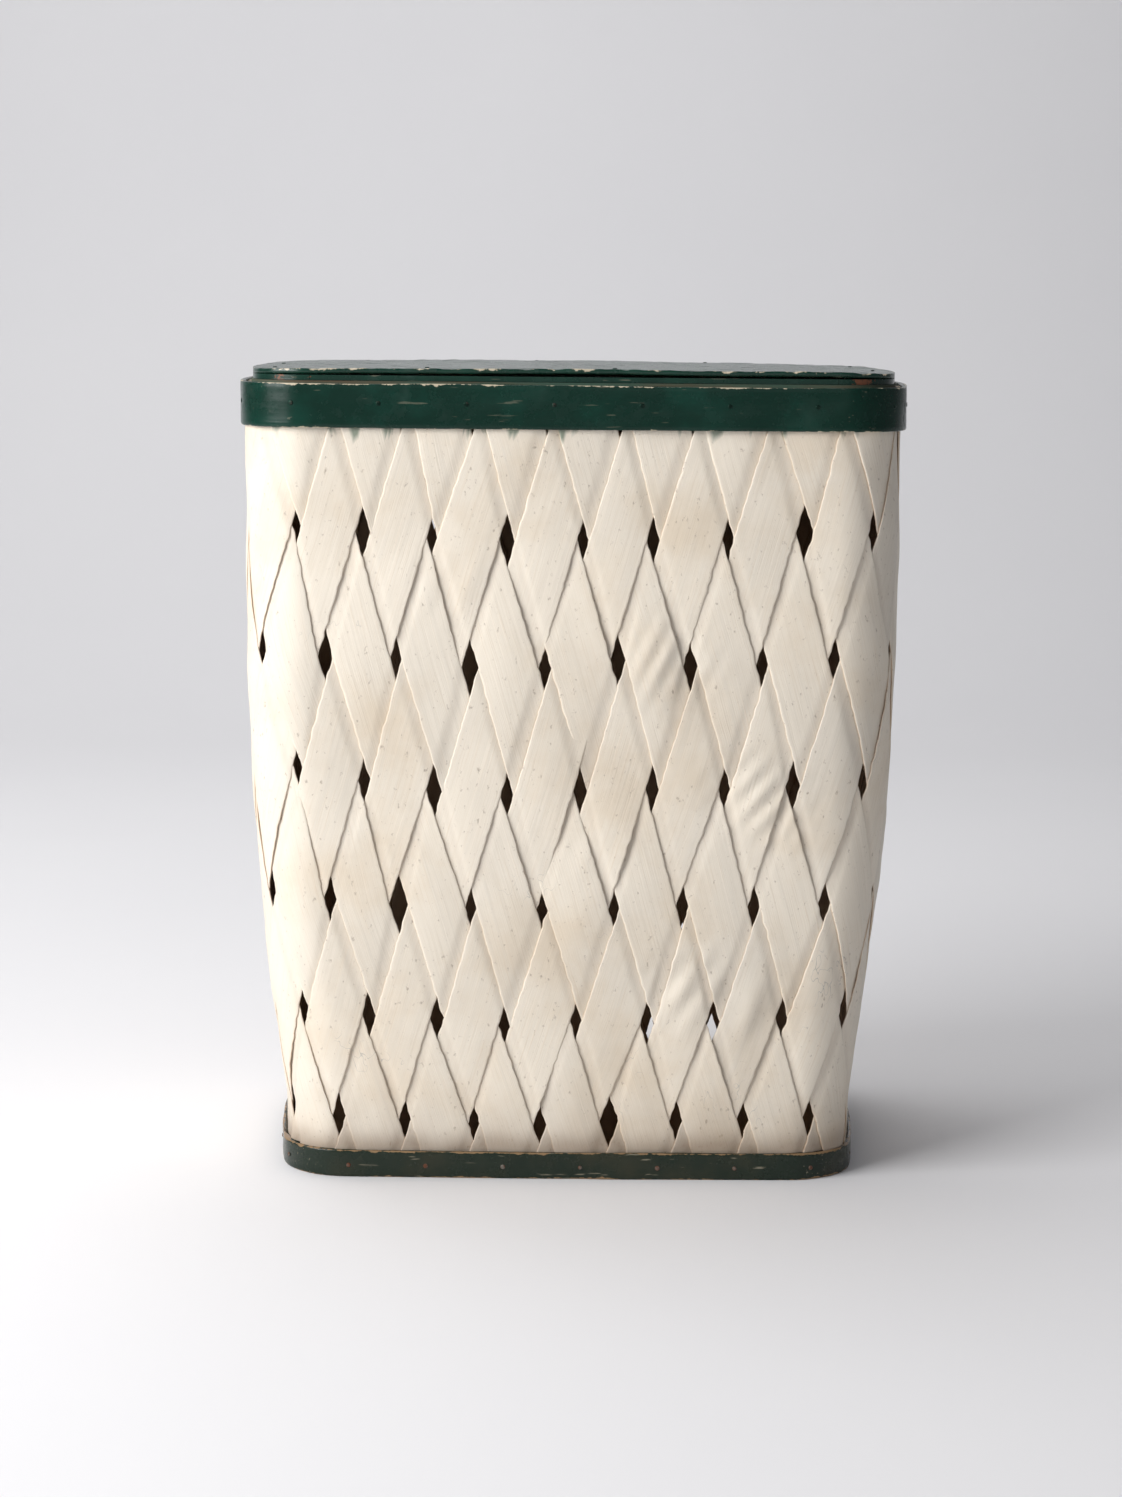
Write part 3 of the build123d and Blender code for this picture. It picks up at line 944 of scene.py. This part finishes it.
CREASES = (
    Crease(72.0, 394.0, 62.0, depth=0.9, bulge=2.4),
    Crease(143.0, 292.0, 48.0, breadth=36.0, depth=1.3, bulge=2.6),
    Crease(92.0, 148.0, 55.0, pitch=19.0, depth=1.2, bulge=2.4),
    Crease(142.0, 130.0, 66.0, breadth=22.0, pitch=30.0, depth=1.3, bulge=2.2),
    Crease(-96.0, 452.0, 60.0, pitch=24.0, depth=0.5, bulge=0.8),
    Crease(20.0, 250.0, 58.0, pitch=26.0, depth=0.4, bulge=0.8),
)


@dataclass(frozen=True)
class SplintWearAndShade:
    """Painted shade by the crossings, darkening towards the foot, spilled paint and bare wood on the splints.
    Amounts are shares from 0 to 1.
    """

    # Painted shade where a splint bends under a crossing one, and the share of the lift to each side over
    # which it spreads
    crossing_grime: float = 0.08
    crossing_side: float = 0.5
    # Darkening towards the foot and by the floor, and its limits
    foot_grime: float = 0.26
    foot_clouds: Ripple = Ripple(0.12, 40.0, 31)
    foot_grime_top: float = 78.0
    foot_grime_fade: float = 70.0
    floor_grime: float = 0.42
    floor_grime_top: float = 40.0
    floor_grime_fade: float = 20.0
    most_at_foot: float = 0.6
    most_grime: float = 0.8
    # Green paint that ran over the rim's lower edge
    slop: float = 0.7
    slop_runs: Ripple = Ripple(1.0, 17.0, 43)
    slop_threshold: float = 0.75
    slop_reach: float = 7.0
    slop_least: float = 0.3
    slop_fade: float = 1.6
    bare_edge: float = 0.35
    bare_edge_width: float = 0.3
    bare_inside: float = 0.75
    tone: float = 0.25
    most_tone: float = 0.8

    def grime(self, station: np.ndarray, height: np.ndarray, lift: np.ndarray) -> np.ndarray:
        """Works out the painted shade beside the crossings and the darkening towards the foot.

        Args:
            station: Places round the wall.
            height: Heights above the floor.
            lift: From -1 where the splint is under another to 1 where it is over it.

        Returns:
            The share of painted shade and darkening at each place.
        """
        side = self.crossing_side
        # Painted shade where the splint bends under or out from a crossing one
        crossing = self.crossing_grime * smooth((side - np.abs(lift)) / side) * (lift < side)
        # Darkening towards the foot and by the floor
        foot = smooth((self.foot_grime_top - height) / self.foot_grime_fade)
        foot = foot * (self.foot_grime + self.foot_clouds.at(station, height * 0.5))
        foot = foot + self.floor_grime * smooth((self.floor_grime_top - height) / self.floor_grime_fade)
        return np.clip(crossing + np.clip(foot, 0, self.most_at_foot), 0, self.most_grime)

    def slopped(self, station: np.ndarray, above: np.ndarray) -> np.ndarray:
        """Works out where green paint has run over the splints.

        Args:
            station: Places round the wall.
            above: Heights above the rim band's lower edge.

        Returns:
            The share of green paint at each place.
        """
        reach = self.slop_reach * np.clip(self.slop_runs.at(station) - self.slop_threshold, 0, 1)
        return self.slop * smooth((above + reach) / self.slop_fade + 0.5) * (reach > self.slop_least)

    def bare(self, from_edge: np.ndarray) -> np.ndarray:
        """The share of bare wood, by the distance from the edge."""
        return np.where(from_edge < self.bare_edge_width, self.bare_edge, 0.0)

    def toned(self, draw: float) -> float:
        """How grey a whole splint is, from a random draw."""
        return float(np.clip(self.tone + self.tone * draw, 0, self.most_tone))


@dataclass
class WovenWall:
    """The bias weave: two leaning sets of splints that pass over and under each other."""

    sizes: WallSizes
    # Its wear, and the painted shade by the crossings
    wear: SplintWearAndShade = SplintWearAndShade()
    # Mesh of a splint: its rings, the rows over which they turn level at an end, and its places across
    rings: int = 230
    end_fade: float = 0.7
    mesh_width: float = 46.0
    edge_places: tuple[float, ...] = (0.0, 0.35, 0.9)
    inner_from: float = 2.2
    inner_places: int = 14
    # Its edges: how much thinner they are, over which width, and their nicks along a row's length
    edge_thinning: float = 0.45
    edge_width: float = 0.9
    nicks: Ripple = Ripple(0.35, 9.0)
    row_length: float = 90.0
    # Its bends: their length as a share of the gap, and the share of the lift reached beside an edge
    bend_length: float = 1.55
    bend_lift: float = 0.38
    # Its warp, how far it swells outwards over another one, and how far its edges curl back
    warp: Ripple = Ripple(0.7, 120.0, 11)
    swelling: float = 0.35
    swells: Ripple = Ripple(0.35, 60.0, 400)
    curl: float = 0.1
    # Its grain: its length for a unit of height, and the steps that keep splints and sets apart
    grain_rise: float = 1.05
    grain_step: float = 131.7
    grain_set_step: float = 3000.0
    grain_spread: float = 900.0
    # How the gaps differ: the seed, the spread of their places and widths, and the limits of the widths
    hole_seed: int = 7
    aside_spread: float = 0.8
    up_spread: float = 1.4
    wider: float = 1.9
    wider_spread: float = 1.0
    wider_limits: tuple[float, float] = (-2.0, 7.0)
    # How a row of gaps sags on a face, and how far a raised gap goes aside along a splint's edge
    sag: float = 2.5
    corner_rise: float = 6.0
    corner_place: int = 8
    gap_slant: float = 0.3
    pieces: list[bpy.types.Object] = field(default_factory=list)

    def __post_init__(self) -> None:
        """Prepares the weave."""
        self.share = self.sizes.width_share()
        self.holes = self._holes()

    def _all_rows(self) -> range:
        """Rows of gaps, with the one below the foot and the one above the rim."""
        return range(-1, len(self.sizes.rows) + 1)

    def _holes(self) -> dict[tuple[int, int], tuple[float, float, float]]:
        """Draws how each gap of the weave differs from a regular one.

        The rows of gaps sag in the middle of a face and rise towards its corners.

        Returns:
            Shift aside, shift up and extra width, by row and by the place in half pitches.
        """
        rng = np.random.default_rng(self.hole_seed)
        holes = {}
        half = self.sizes.splints
        odd = {(gap.row, gap.place): gap for gap in ODD_GAPS}
        for row in self._all_rows():
            for place in range((row + 1) % 2, 2 * half, 2):
                on_face = (place + half // 2) % half - half // 2
                aside, up = rng.normal(0, self.aside_spread), rng.normal(0, self.up_spread)
                wide = rng.normal(self.wider, self.wider_spread)
                up += self.corner_rise * (on_face / self.corner_place) ** 2 - self.sag
                gap = odd.get((row, (place + half) % (2 * half) - half))
                if gap:
                    aside, up, wide = gap.aside, gap.up, gap.wider
                holes[row, place] = (float(aside), float(up), float(np.clip(wide, *self.wider_limits)))
        return holes

    def _edge_shift(self, lean: Lean, index: int, side: int, rows_up: np.ndarray) -> np.ndarray:
        """Works out how far one edge of a splint strays from its regular line.

        Args:
            lean: Which set the splint is in.
            index: Which splint of the set.
            side: -1 for the left edge and 1 for the right one.
            rows_up: Places along the splint, in rows.

        Returns:
            Shifts to the right.
        """
        values = []
        for row in self._all_rows():
            place = (2 * index + side + lean.value * row) % (2 * self.sizes.splints)
            aside, up, wide = self.holes[row, place]
            values.append(aside - lean.value * self.gap_slant * up - side * wide / 2)
        return np.interp(rows_up, list(self._all_rows()), values)

    def _slant(self, lean: Lean, side: np.ndarray) -> np.ndarray:
        """How far up, in rows, the edges of the crossing splints lie at each place across."""
        return self.share * (0.5 - (side if lean is Lean.RIGHT else 1 - side))

    def _rings(self, lean: Lean, side: np.ndarray) -> np.ndarray:
        """Places the mesh's rings, which lie along the edges of the crossing splints.

        Args:
            lean: Which set the splint is in.
            side: Places across, from 0 at the left edge to 1.

        Returns:
            Places along in rows, for each ring and each place across.
        """
        low, high = self.sizes.ends()
        level = np.linspace(low, high, self.rings)[:, None]
        fade = smooth((level - low) / self.end_fade) * smooth((high - level) / self.end_fade)
        return level + fade * self._slant(lean, side)

    def _lift(self, lean: Lean, side: np.ndarray, rows_up: np.ndarray) -> np.ndarray:
        """Works out how far the splint stands off the middle of the weave.

        Args:
            lean: Which set the splint is in.
            side: Places across, from 0 at the left edge to 1.
            rows_up: Places along, in rows.

        Returns:
            The lift at each place, from -1 under another splint to 1 over it.
        """
        slant = self._slant(lean, side)
        bend = (1 - self.share) * self.bend_length
        total = np.full(rows_up.shape, float(lean.value))
        for row in self._all_rows():
            total = total * (1 - 2 * smooth((rows_up - (row + 0.5 + slant)) / bend + 0.5))
        from_bend = np.abs((rows_up - slant) % 1.0 - 0.5)
        return total * (self.bend_lift + (1 - self.bend_lift) * np.sin(math.pi * from_bend))

    def _station(
        self,
        lean: Lean,
        index: int,
        side: np.ndarray,
        rows_up: np.ndarray,
        seed: int,
    ) -> np.ndarray:
        """Finds the places of a splint round the wall.

        Args:
            lean: Which set the splint is in.
            index: Which splint of the set.
            side: Places across, from 0 at the left edge to 1.
            rows_up: Places along, in rows.
            seed: Seed of the splint's own noise.

        Returns:
            Lengths from the front middle towards +X.
        """
        sizes = self.sizes
        height = sizes.level(rows_up)
        girth = sizes.wall(height).girth()
        pitch = girth / sizes.splints
        nick = self.nicks.at(rows_up * self.row_length, seed=seed)
        left = self._edge_shift(lean, index, -1, rows_up) + nick
        right = self._edge_shift(lean, index, 1, rows_up) - nick
        shift = left * (1 - side) + right * side
        across = (index + lean.value * rows_up / 2) * pitch + self.share * pitch * (side - 0.5) + shift
        station = across + sizes.start + sizes.lean * height / sizes.rim_top
        spread = sizes.foot_spread * sizes.drawn_in(height)
        return station + spread * np.sin(4 * math.pi * station / girth)

    def splint(self, mesh: LoftMesh, lean: Lean, index: int) -> None:
        """Adds one splint to a mesh.

        Args:
            mesh: The mesh to add it to.
            lean: Which set it is in.
            index: Which splint of the set.
        """
        sizes, wear, left_set = self.sizes, self.wear, lean is Lean.LEFT
        seed = 100 + index + (50 if left_set else 0)
        rng = np.random.default_rng(seed)
        edge = np.array(self.edge_places)
        inner = np.linspace(self.inner_from, self.mesh_width - self.inner_from, self.inner_places)
        places = np.concatenate([edge, inner, self.mesh_width - edge[::-1]])[None, :]
        side = places / self.mesh_width
        from_edge = np.minimum(places, self.mesh_width - places)
        rows_up = self._rings(lean, side)
        height = sizes.level(rows_up)
        wall = sizes.wall(height)
        station = self._station(lean, index, side, rows_up, seed)
        x, y, _ = wall.at(station)
        lift = self._lift(lean, side, rows_up)
        creases = sum(crease.swell(x, height) for crease in CREASES) * (y < 0)
        swell = np.maximum(lift, 0) * (self.swelling + self.swells.at(station, height, seed) + creases)
        middle = lift * (sizes.lift - self.curl * (2 * side - 1) ** 2) + swell + self.warp.at(station, height)
        half = sizes.thickness / 2 - self.edge_thinning * fall(from_edge, self.edge_width, 2.0)
        across = places + index * self.grain_step + (self.grain_set_step if left_set else 0)
        along = height * self.grain_rise + rng.uniform(0, self.grain_spread)
        mesh.add(
            wall.points(station, middle + half, height),
            wall.points(station, middle - half, height),
            (across, along),
            # Painted shade beside the crossings, and darkening towards the foot
            grime=(wear.grime(station, height, lift), 0.0),
            slop=(wear.slopped(station, height - sizes.rim_bottom), 0.0),
            bare=(wear.bare(from_edge), wear.bare_inside),
            tone=(wear.toned(rng.normal()), 0.0),
        )

    def build(self) -> None:
        """Makes an object for each CAD node of two splints."""
        for lean, word in ((Lean.RIGHT, "right"), (Lean.LEFT, "left")):
            for first in range(0, self.sizes.splints, 2):
                node = f"{word}_leaning_splints_{first // 2 + 1:02d}"
                mesh = LoftMesh(f"{node}_woven")
                for index in (first, first + 1):
                    self.splint(mesh, lean, index)
                self.pieces.append(seat(mesh.build(), "basket", Slot.SPLINT, node))

    def dress(self, material: bpy.types.Material) -> None:
        """Gives the splints their finish."""
        for piece in self.pieces:
            piece.data.materials.append(material)


@dataclass
class Band:
    """A bent wooden band with softened edges and a slanted lap at the back.

    inside is how far its inner side lies off the middle of the weave, and lap_middle how far the lap
    lies from the back middle.
    """

    wall: WallSizes
    node: str
    slot: Slot
    bottom: float
    height: float
    thickness: float
    inside: float
    lap_middle: float = 0.0
    lap_length: float = 40.0
    lap_gap: float = 0.3
    # Its mesh: rings, and places up its flat side
    rings: int = 620
    places: int = 12
    # Its edges: how wide and how deep they are rounded, and how bare they are at and beside the edge
    round_edge: float = 0.9
    round_depth: float = 0.55
    bare_edge: float = 0.98
    sound_rise: float = 0.5
    sound_width: float = 2.4
    # How it wanders, the shares of that in its height and in its level, and its dents
    wander: Ripple = Ripple(0.5, 160.0, 61)
    height_share: float = 1.2
    level_share: float = 0.4
    dents: Ripple = Ripple(0.22, 45.0, 63)
    piece: bpy.types.Object | None = None

    def _stations(self, outline: Outline, slant: float) -> np.ndarray:
        """Places the rings along one side of the band, from lap to lap.

        Args:
            outline: The side's outline.
            slant: How far the slant of the lap takes the side's ends along.

        Returns:
            Lengths from the front middle towards +X.
        """
        girth = float(outline.girth())
        # The back middle lies at half the length, where stations run towards -X
        start = girth / 2 - self.lap_middle + slant
        share = np.linspace(0, 1, self.rings)[:, None]
        return start + self.lap_gap + share * (girth - 2 * self.lap_gap)

    def build(self) -> None:
        """Makes the band."""
        middle = self.wall.wall(np.array(self.bottom))
        inner, outer = middle.grown(self.inside), middle.grown(self.inside + self.thickness)
        station = self._stations(outer, -self.lap_length / 2)
        edge = self.round_edge * np.array([0.0, 0.35, 1.0])
        flat = np.linspace(self.round_edge, self.height - self.round_edge, self.places)[1:-1]
        rise = np.concatenate([edge, flat, self.height - edge[::-1]])[None, :]
        from_edge = np.minimum(rise, self.height - rise)
        soft = self.round_depth * self.round_edge * fall(from_edge, self.round_edge)
        wander = self.wander.at(station)
        height = self.bottom + rise + wander * (rise / self.height - 0.5) * self.height_share
        if self.bottom > 0:
            height = height + self.level_share * wander
        height = np.maximum(height, 0.0)
        dented = self.dents.at(station, height * 1.5) - soft
        bare = self.bare_edge + self.sound_rise * np.clip(from_edge / self.sound_width, 0, 1)
        mesh = LoftMesh(f"{self.node}_worn")
        mesh.add(
            outer.points(station, dented, height),
            inner.points(self._stations(inner, self.lap_length / 2), soft, height),
            (rise, station),
            flip=True,
            edge=(bare, SOUND_PAINT),
        )
        self.piece = seat(mesh.build(), "basket", self.slot, self.node)

    def dress(self, material: bpy.types.Material) -> None:
        """Gives the band its finish."""
        self.piece.data.materials.append(material)


@dataclass
class Lid:
    """The arched panel on its frame of four strips."""

    FRAME = ("lid_frame_front_strip", "lid_frame_back_strip", "lid_frame_left_end", "lid_frame_right_end")

    wall: WallSizes
    inset: float = 3.4
    foot: float = 603.2
    thickness: float = 3.8
    crown: float = 2.2
    # Places of the mesh beside an end and beside a long edge, and how many lie between them
    end_places: tuple[float, ...] = (0.02, 0.3, 0.8, 1.6, 2.8, 4.4, 6.6)
    edge_places: tuple[float, ...] = (0.0, 0.35, 0.9, 2.0)
    between_ends: int = 180
    between_edges: int = 91
    ends_reach: float = 9.0
    edges_reach: float = 3.5
    # Places round its outline, and how many steps of them the distance from it is measured in
    outline_places: int = 4001
    outline_step: int = 8
    # Its edges: how wide and how deep they are rounded, the share of that underneath, and their rubbing
    round_edge: float = 1.1
    round_depth: float = 0.8
    under_share: float = 0.6
    rubs: Ripple = Ripple(0.5, 16.0, 75)
    most_rub: float = 1.0
    rub_width: float = 7.0
    # Its warp and small waves, and how bare it is at its edge and over which width
    warp: Ripple = Ripple(0.5, 130.0, 71)
    waviness: Ripple = Ripple(0.12, 28.0, 73)
    bare_edge: float = 0.94
    sound_width: float = 4.0
    panel: bpy.types.Object | None = None

    def _grid(self, edge_x: np.ndarray, edge_y: np.ndarray, half: float) -> tuple[np.ndarray, np.ndarray]:
        """Places the mesh's points, which lie close together beside the edges.

        Args:
            edge_x: x of places on the outline.
            edge_y: y of the same places.
            half: Half the width.

        Returns:
            x and y of each point.
        """
        front = (edge_y < 0) & (np.abs(edge_x) <= half)
        order = np.argsort(edge_x[front])
        ends = np.array(self.end_places)
        between = np.linspace(-half + self.ends_reach, half - self.ends_reach, self.between_ends)
        x = np.concatenate([-half + ends, between, half - ends[::-1]])
        depth = -np.interp(x, edge_x[front][order], edge_y[front][order])[:, None]
        step = np.minimum(np.array(self.edge_places), depth * 0.25)
        # By the ends the panel is too shallow for the full reach, so the rows close up
        inside = np.maximum(depth - self.edges_reach, 0.3 * depth)
        share = np.linspace(-1, 1, self.between_edges)[1:-1][None, :]
        y = np.concatenate([-depth + step, inside * share, depth - step[:, ::-1]], axis=1)
        return np.broadcast_to(x[:, None], y.shape), y

    def build(self) -> None:
        """Makes the panel, which is warped and has softened, nicked edges."""
        outline = self.wall.wall(np.array(self.wall.top)).grown(-self.inset)
        half = float(outline.half_width)
        edge_x, edge_y, _ = outline.at(np.linspace(0, float(outline.girth()), self.outline_places))
        x, y = self._grid(edge_x, edge_y, half)
        near_x, near_y = edge_x[:: self.outline_step], edge_y[:: self.outline_step]
        away = np.min(np.hypot(x[..., None] - near_x, y[..., None] - near_y), axis=-1)
        crown_radius = (half**2 + self.crown**2) / (2 * self.crown)
        arch = self.crown - (crown_radius - np.sqrt(crown_radius**2 - x**2))
        middle = self.foot + arch + self.warp.at(x, y * 0.4) + self.waviness.at(x, y)
        soft = self.round_depth * fall(away, self.round_edge)
        rub = np.clip(self.rubs.at(x, y), 0, self.most_rub) * fall(away, self.rub_width, 1.0)
        top = middle + self.thickness - soft - rub
        base = np.maximum(middle + soft * self.under_share, self.foot)
        bare = self.bare_edge + (SOUND_PAINT - self.bare_edge) * np.clip(away / self.sound_width, 0, 1)
        mesh = LoftMesh("lid_panel_worn")
        over, under = np.stack([x, y, top], axis=-1), np.stack([x, y, base], axis=-1)
        mesh.add(over, under, (y, x), edge=(bare, SOUND_PAINT))
        self.panel = seat(mesh.build(), "lid", Slot.GREEN, "lid_panel")

    def dress(self, panel: bpy.types.Material, strips: bpy.types.Material) -> None:
        """Gives the panel and the frame's strips their finishes."""
        self.panel.data.materials.append(panel)
        paint_nodes(strips, *self.FRAME)


@dataclass
class NailHeads:
    """Small domed heads in place of each square nail of a CAD node."""

    # Shares of the radius and of the rise, from the root of a head to its crown
    DOME = ((1.0, -1.2), (1.0, -0.35), (0.9, -0.1), (0.6, 0.0), (0.25, 0.05))
    SIDES = 12
    # How much the radius differs, and the seed of that
    SPREAD = (0.85, 1.1)
    SEED = 5

    node: str
    body: str
    radius: float = 1.7
    rise: float = 0.7
    piece: bpy.types.Object | None = None

    def places(self) -> list[tuple[Vector, Vector]]:
        """Finds the nails.

        Returns:
            The middle of each outer face, and the outward direction.
        """
        source = bmesh.new()
        source.from_mesh(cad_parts[self.node].data)
        bmesh.ops.remove_doubles(source, verts=source.verts, dist=1e-6)
        seen: set[bmesh.types.BMVert] = set()
        found = []
        for vertex in source.verts:
            if vertex in seen:
                continue
            nail, reached = {vertex}, [vertex]
            while reached:
                corner = reached.pop()
                near = {edge.other_vert(corner) for edge in corner.link_edges} - nail
                nail |= near
                reached.extend(near)
            seen |= nail
            found.append(self._head([face for face in source.faces if face.verts[0] in nail]))
        source.free()
        return found

    def _head(self, faces: list[bmesh.types.BMFace]) -> tuple[Vector, Vector]:
        """Finds the outer end of one square nail.

        Args:
            faces: All its faces.

        Returns:
            The middle of the end and its normal.
        """
        middle = sum((face.calc_center_median() for face in faces), Vector()) / len(faces)
        outward = Vector((0, 0, 1)) if self.body == "lid" else Vector((middle.x, middle.y, 0)).normalized()
        ends = [face for face in faces if face.normal.dot(outward) > 0.6]
        best = max(ends, key=lambda face: face.calc_center_median().dot(outward))
        same = [face for face in ends if face.normal.dot(best.normal) > 0.999]
        centre = sum((face.calc_center_median() for face in same), Vector()) / len(same)
        return centre, best.normal.copy()

    def build(self) -> None:
        """Makes the heads."""
        rng = np.random.default_rng(self.SEED)
        mesh = bmesh.new()
        angles = [2 * math.pi * step / self.SIDES for step in range(self.SIDES)]
        for centre, normal in self.places():
            radius = self.radius * MM * rng.uniform(*self.SPREAD)
            turn = normal.to_track_quat("Z", "Y")
            rings = []
            for share, rise in self.DOME:
                reach, up = radius * share, rise * self.rise * MM
                spots = [Vector((math.cos(a) * reach, math.sin(a) * reach, up)) for a in angles]
                rings.append([mesh.verts.new(centre + turn @ spot) for spot in spots])
            for low, high in zip(rings, rings[1:]):
                for step in range(self.SIDES):
                    after = (step + 1) % self.SIDES
                    mesh.faces.new((low[step], low[after], high[after], high[step]))
            mesh.faces.new(rings[-1])
            mesh.faces.new(rings[0][::-1])
        heads = smooth_object(f"{self.node}_heads", mesh)
        self.piece = seat(heads, self.body, Slot.NAIL, self.node)

    def dress(self, material: bpy.types.Material) -> None:
        """Gives the heads their finish."""
        self.piece.data.materials.append(material)


def paint_nodes(material: bpy.types.Material, *names: str) -> None:
    """Gives CAD nodes that stay their finish.

    Args:
        material: The finish.
        *names: The nodes.
    """
    for name in names:
        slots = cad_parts[name].data.materials
        slots.clear()
        slots.append(material)


@dataclass(frozen=True)
class SoftLamp:
    """A square lamp, in metres and watts."""

    name: str
    place: Triple
    size: float
    power: float
    aim: Triple


@dataclass(frozen=True)
class Studio:
    """Pale seamless floor and backdrop, soft light and the photograph's camera, in metres."""

    # The sheet: half its width, its flat floor, the curve up to the backdrop, and how far it lies below
    half_width: float = 12.0
    floor: tuple[float, ...] = (-9.0, -4.0, 0.0, 2.2)
    curve: float = 1.6
    curve_steps: int = 12
    heights: tuple[float, ...] = (4.0, 8.0)
    below: float = 0.0002
    paper: tuple[Colour, Colour] = (srgb(232, 231, 232), srgb(226, 225, 227))
    paper_roughness: float = 0.85
    lamps: tuple[SoftLamp, ...] = (
        SoftLamp("key", (-2.05, -1.4, 1.5), 1.8, 84.0, (0.0, 0.0, 0.35)),
        SoftLamp("top", (-0.8, 1.3, 3.1), 2.6, 57.0, (0.0, 1.6, 0.5)),
        SoftLamp("fill", (0.2, -3.6, 1.7), 2.4, 7.0, (0.0, 0.0, 0.3)),
    )
    air: Colour = srgb(236, 238, 244)
    air_strength: float = 0.22
    # The camera, with its lens and sensor in millimetres, and its tilt and roll in degrees
    lens: float = 76.8
    sensor: float = 36.0
    camera_place: Triple = (-0.0072, -2.505, 0.660)
    tilt_down: float = 8.02
    roll: float = 0.51

    def build(self) -> None:
        """Makes the stage, the lights and the camera."""
        self._stage()
        self._lights()
        self._camera()

    def _stage(self) -> None:
        """Makes the floor and the backdrop as one curved sheet."""
        profile = [(y, 0.0) for y in self.floor]
        start = self.floor[-1]
        for step in range(1, self.curve_steps + 1):
            a = math.pi / 2 * step / self.curve_steps
            profile.append((start + self.curve * math.sin(a), self.curve - self.curve * math.cos(a)))
        profile += [(start + self.curve, z) for z in self.heights]
        sheet = bmesh.new()
        across = (-self.half_width, 0.0, self.half_width)
        rows = [[sheet.verts.new((x, y, z - self.below)) for x in across] for y, z in profile]
        for low, high in zip(rows, rows[1:]):
            for step in range(2):
                sheet.faces.new((low[step], low[step + 1], high[step + 1], high[step]))
        backdrop = smooth_object("backdrop", sheet)
        material, s, bsdf = new_material("backdrop_paper")
        cloud = s.noise(s.place(), scale=1.3, detail=3.0, rough=0.5)
        s.fill(bsdf, Base_Color=s.mix(cloud, *self.paper), Roughness=self.paper_roughness)
        backdrop.data.materials.append(material)

    def _lights(self) -> None:
        """Makes a large soft key from the left, a top light, a weak fill and an even sky."""
        for lamp in self.lamps:
            data = bpy.data.lights.new(lamp.name, "AREA")
            data.shape, data.size, data.energy = "SQUARE", lamp.size, lamp.power
            light = new_object(lamp.name, data)
            light.location = lamp.place
            light.rotation_mode = "QUATERNION"
            light.rotation_quaternion = (Vector(lamp.aim) - Vector(lamp.place)).to_track_quat("-Z", "Y")
        world = bpy.data.worlds.new("studio_air")
        world.use_nodes = True
        background = next(n for n in world.node_tree.nodes if n.type == "BACKGROUND")
        background.inputs["Color"].default_value = rgba(self.air)
        background.inputs["Strength"].default_value = self.air_strength
        bpy.context.scene.world = world
        bpy.context.scene.view_settings.view_transform = "Standard"

    def _camera(self) -> None:
        """Makes the camera at the photograph's angle."""
        data = bpy.data.cameras.new("camera")
        data.lens, data.sensor_width = self.lens, self.sensor
        data.clip_start, data.clip_end = 0.05, 60.0
        camera = new_object("camera", data)
        camera.location = self.camera_place
        camera.rotation_mode = "QUATERNION"
        upright = Quaternion((1.0, 0.0, 0.0), math.radians(90 - self.tilt_down))
        camera.rotation_quaternion = upright @ Quaternion((0.0, 0.0, 1.0), math.radians(self.roll))
        bpy.context.scene.camera = camera


def write_size() -> None:
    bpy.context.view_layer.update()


def main() -> None:
    """Builds and dresses the whole scene."""
    logging.basicConfig(level=logging.INFO, format="%(message)s")
    write_size()
    effects = Effects()
    sizes = WallSizes()
    inside = sizes.reach + sizes.seat
    wall = WovenWall(sizes)
    rim_height = sizes.rim_top - sizes.rim_bottom
    rim = Band(sizes, "rim_outer_band", Slot.GREEN, sizes.rim_bottom, rim_height, 4.0, inside)
    foot = Band(sizes, "foot_band", Slot.FOOT, 0.0, 20.0, 3.5, inside, lap_middle=40.0, bare_edge=0.84)
    lid = Lid(sizes)
    rim_heads = NailHeads("rim_nails", "basket")
    foot_heads = NailHeads("foot_nails", "basket")
    tacks = NailHeads("lid_tacks", "lid", radius=1.6, rise=0.8)
    for part in (wall, rim, foot, lid, rim_heads, foot_heads, tacks):
        part.build()
        log.info("built %s", type(part).__name__)
    wall.dress(CreamSplint().make(effects, "cream_splint"))
    rim_paint = GreenPaint(srgb(3, 40, 30), srgb(14, 66, 54), specular=0.3)
    rim.dress(rim_paint.make(effects, "green_rim"))
    foot_paint = GreenPaint(srgb(26, 38, 28), srgb(62, 58, 42), wear=0.22, specular=0.3)
    foot.dress(foot_paint.make(effects, "worn_green_foot"))
    broken = ((-0.217, 0.003), (-0.194, 0.0), (0.214, 0.008))
    frame_paint = GreenPaint(wear=0.1, chipped=False, broken=broken)
    lid.dress(GreenPaint().make(effects, "green_paint"), frame_paint.make(effects, "green_frame"))
    rust = OldMetal(share=0.7).make("rusty_nail")
    painted = OldMetal(srgb(24, 46, 38), srgb(48, 38, 28), share=0.3).make("painted_nail")
    rim_heads.dress(painted)
    foot_heads.dress(rust)
    tacks.dress(painted)
    words = ("rim_leaf", "lid_leaf", "pin")
    hinges = [f"{side}_hinge_{word}" for side in ("left", "right") for word in words]
    paint_nodes(OldMetal().make("hinge_steel"), *hinges)
    paint_nodes(rust, "rim_leaf_nails", "lid_leaf_nails")
    hoop_wood = PlainWood(srgb(54, 84, 70), srgb(92, 70, 48))
    paint_nodes(hoop_wood.make(effects, "hoop_wood"), "rim_inner_hoop")
    paint_nodes(PlainWood().make(effects, "bare_board"), "base_board")
    Studio().build()
    write_size()


if __name__ == "__main__":
    main()
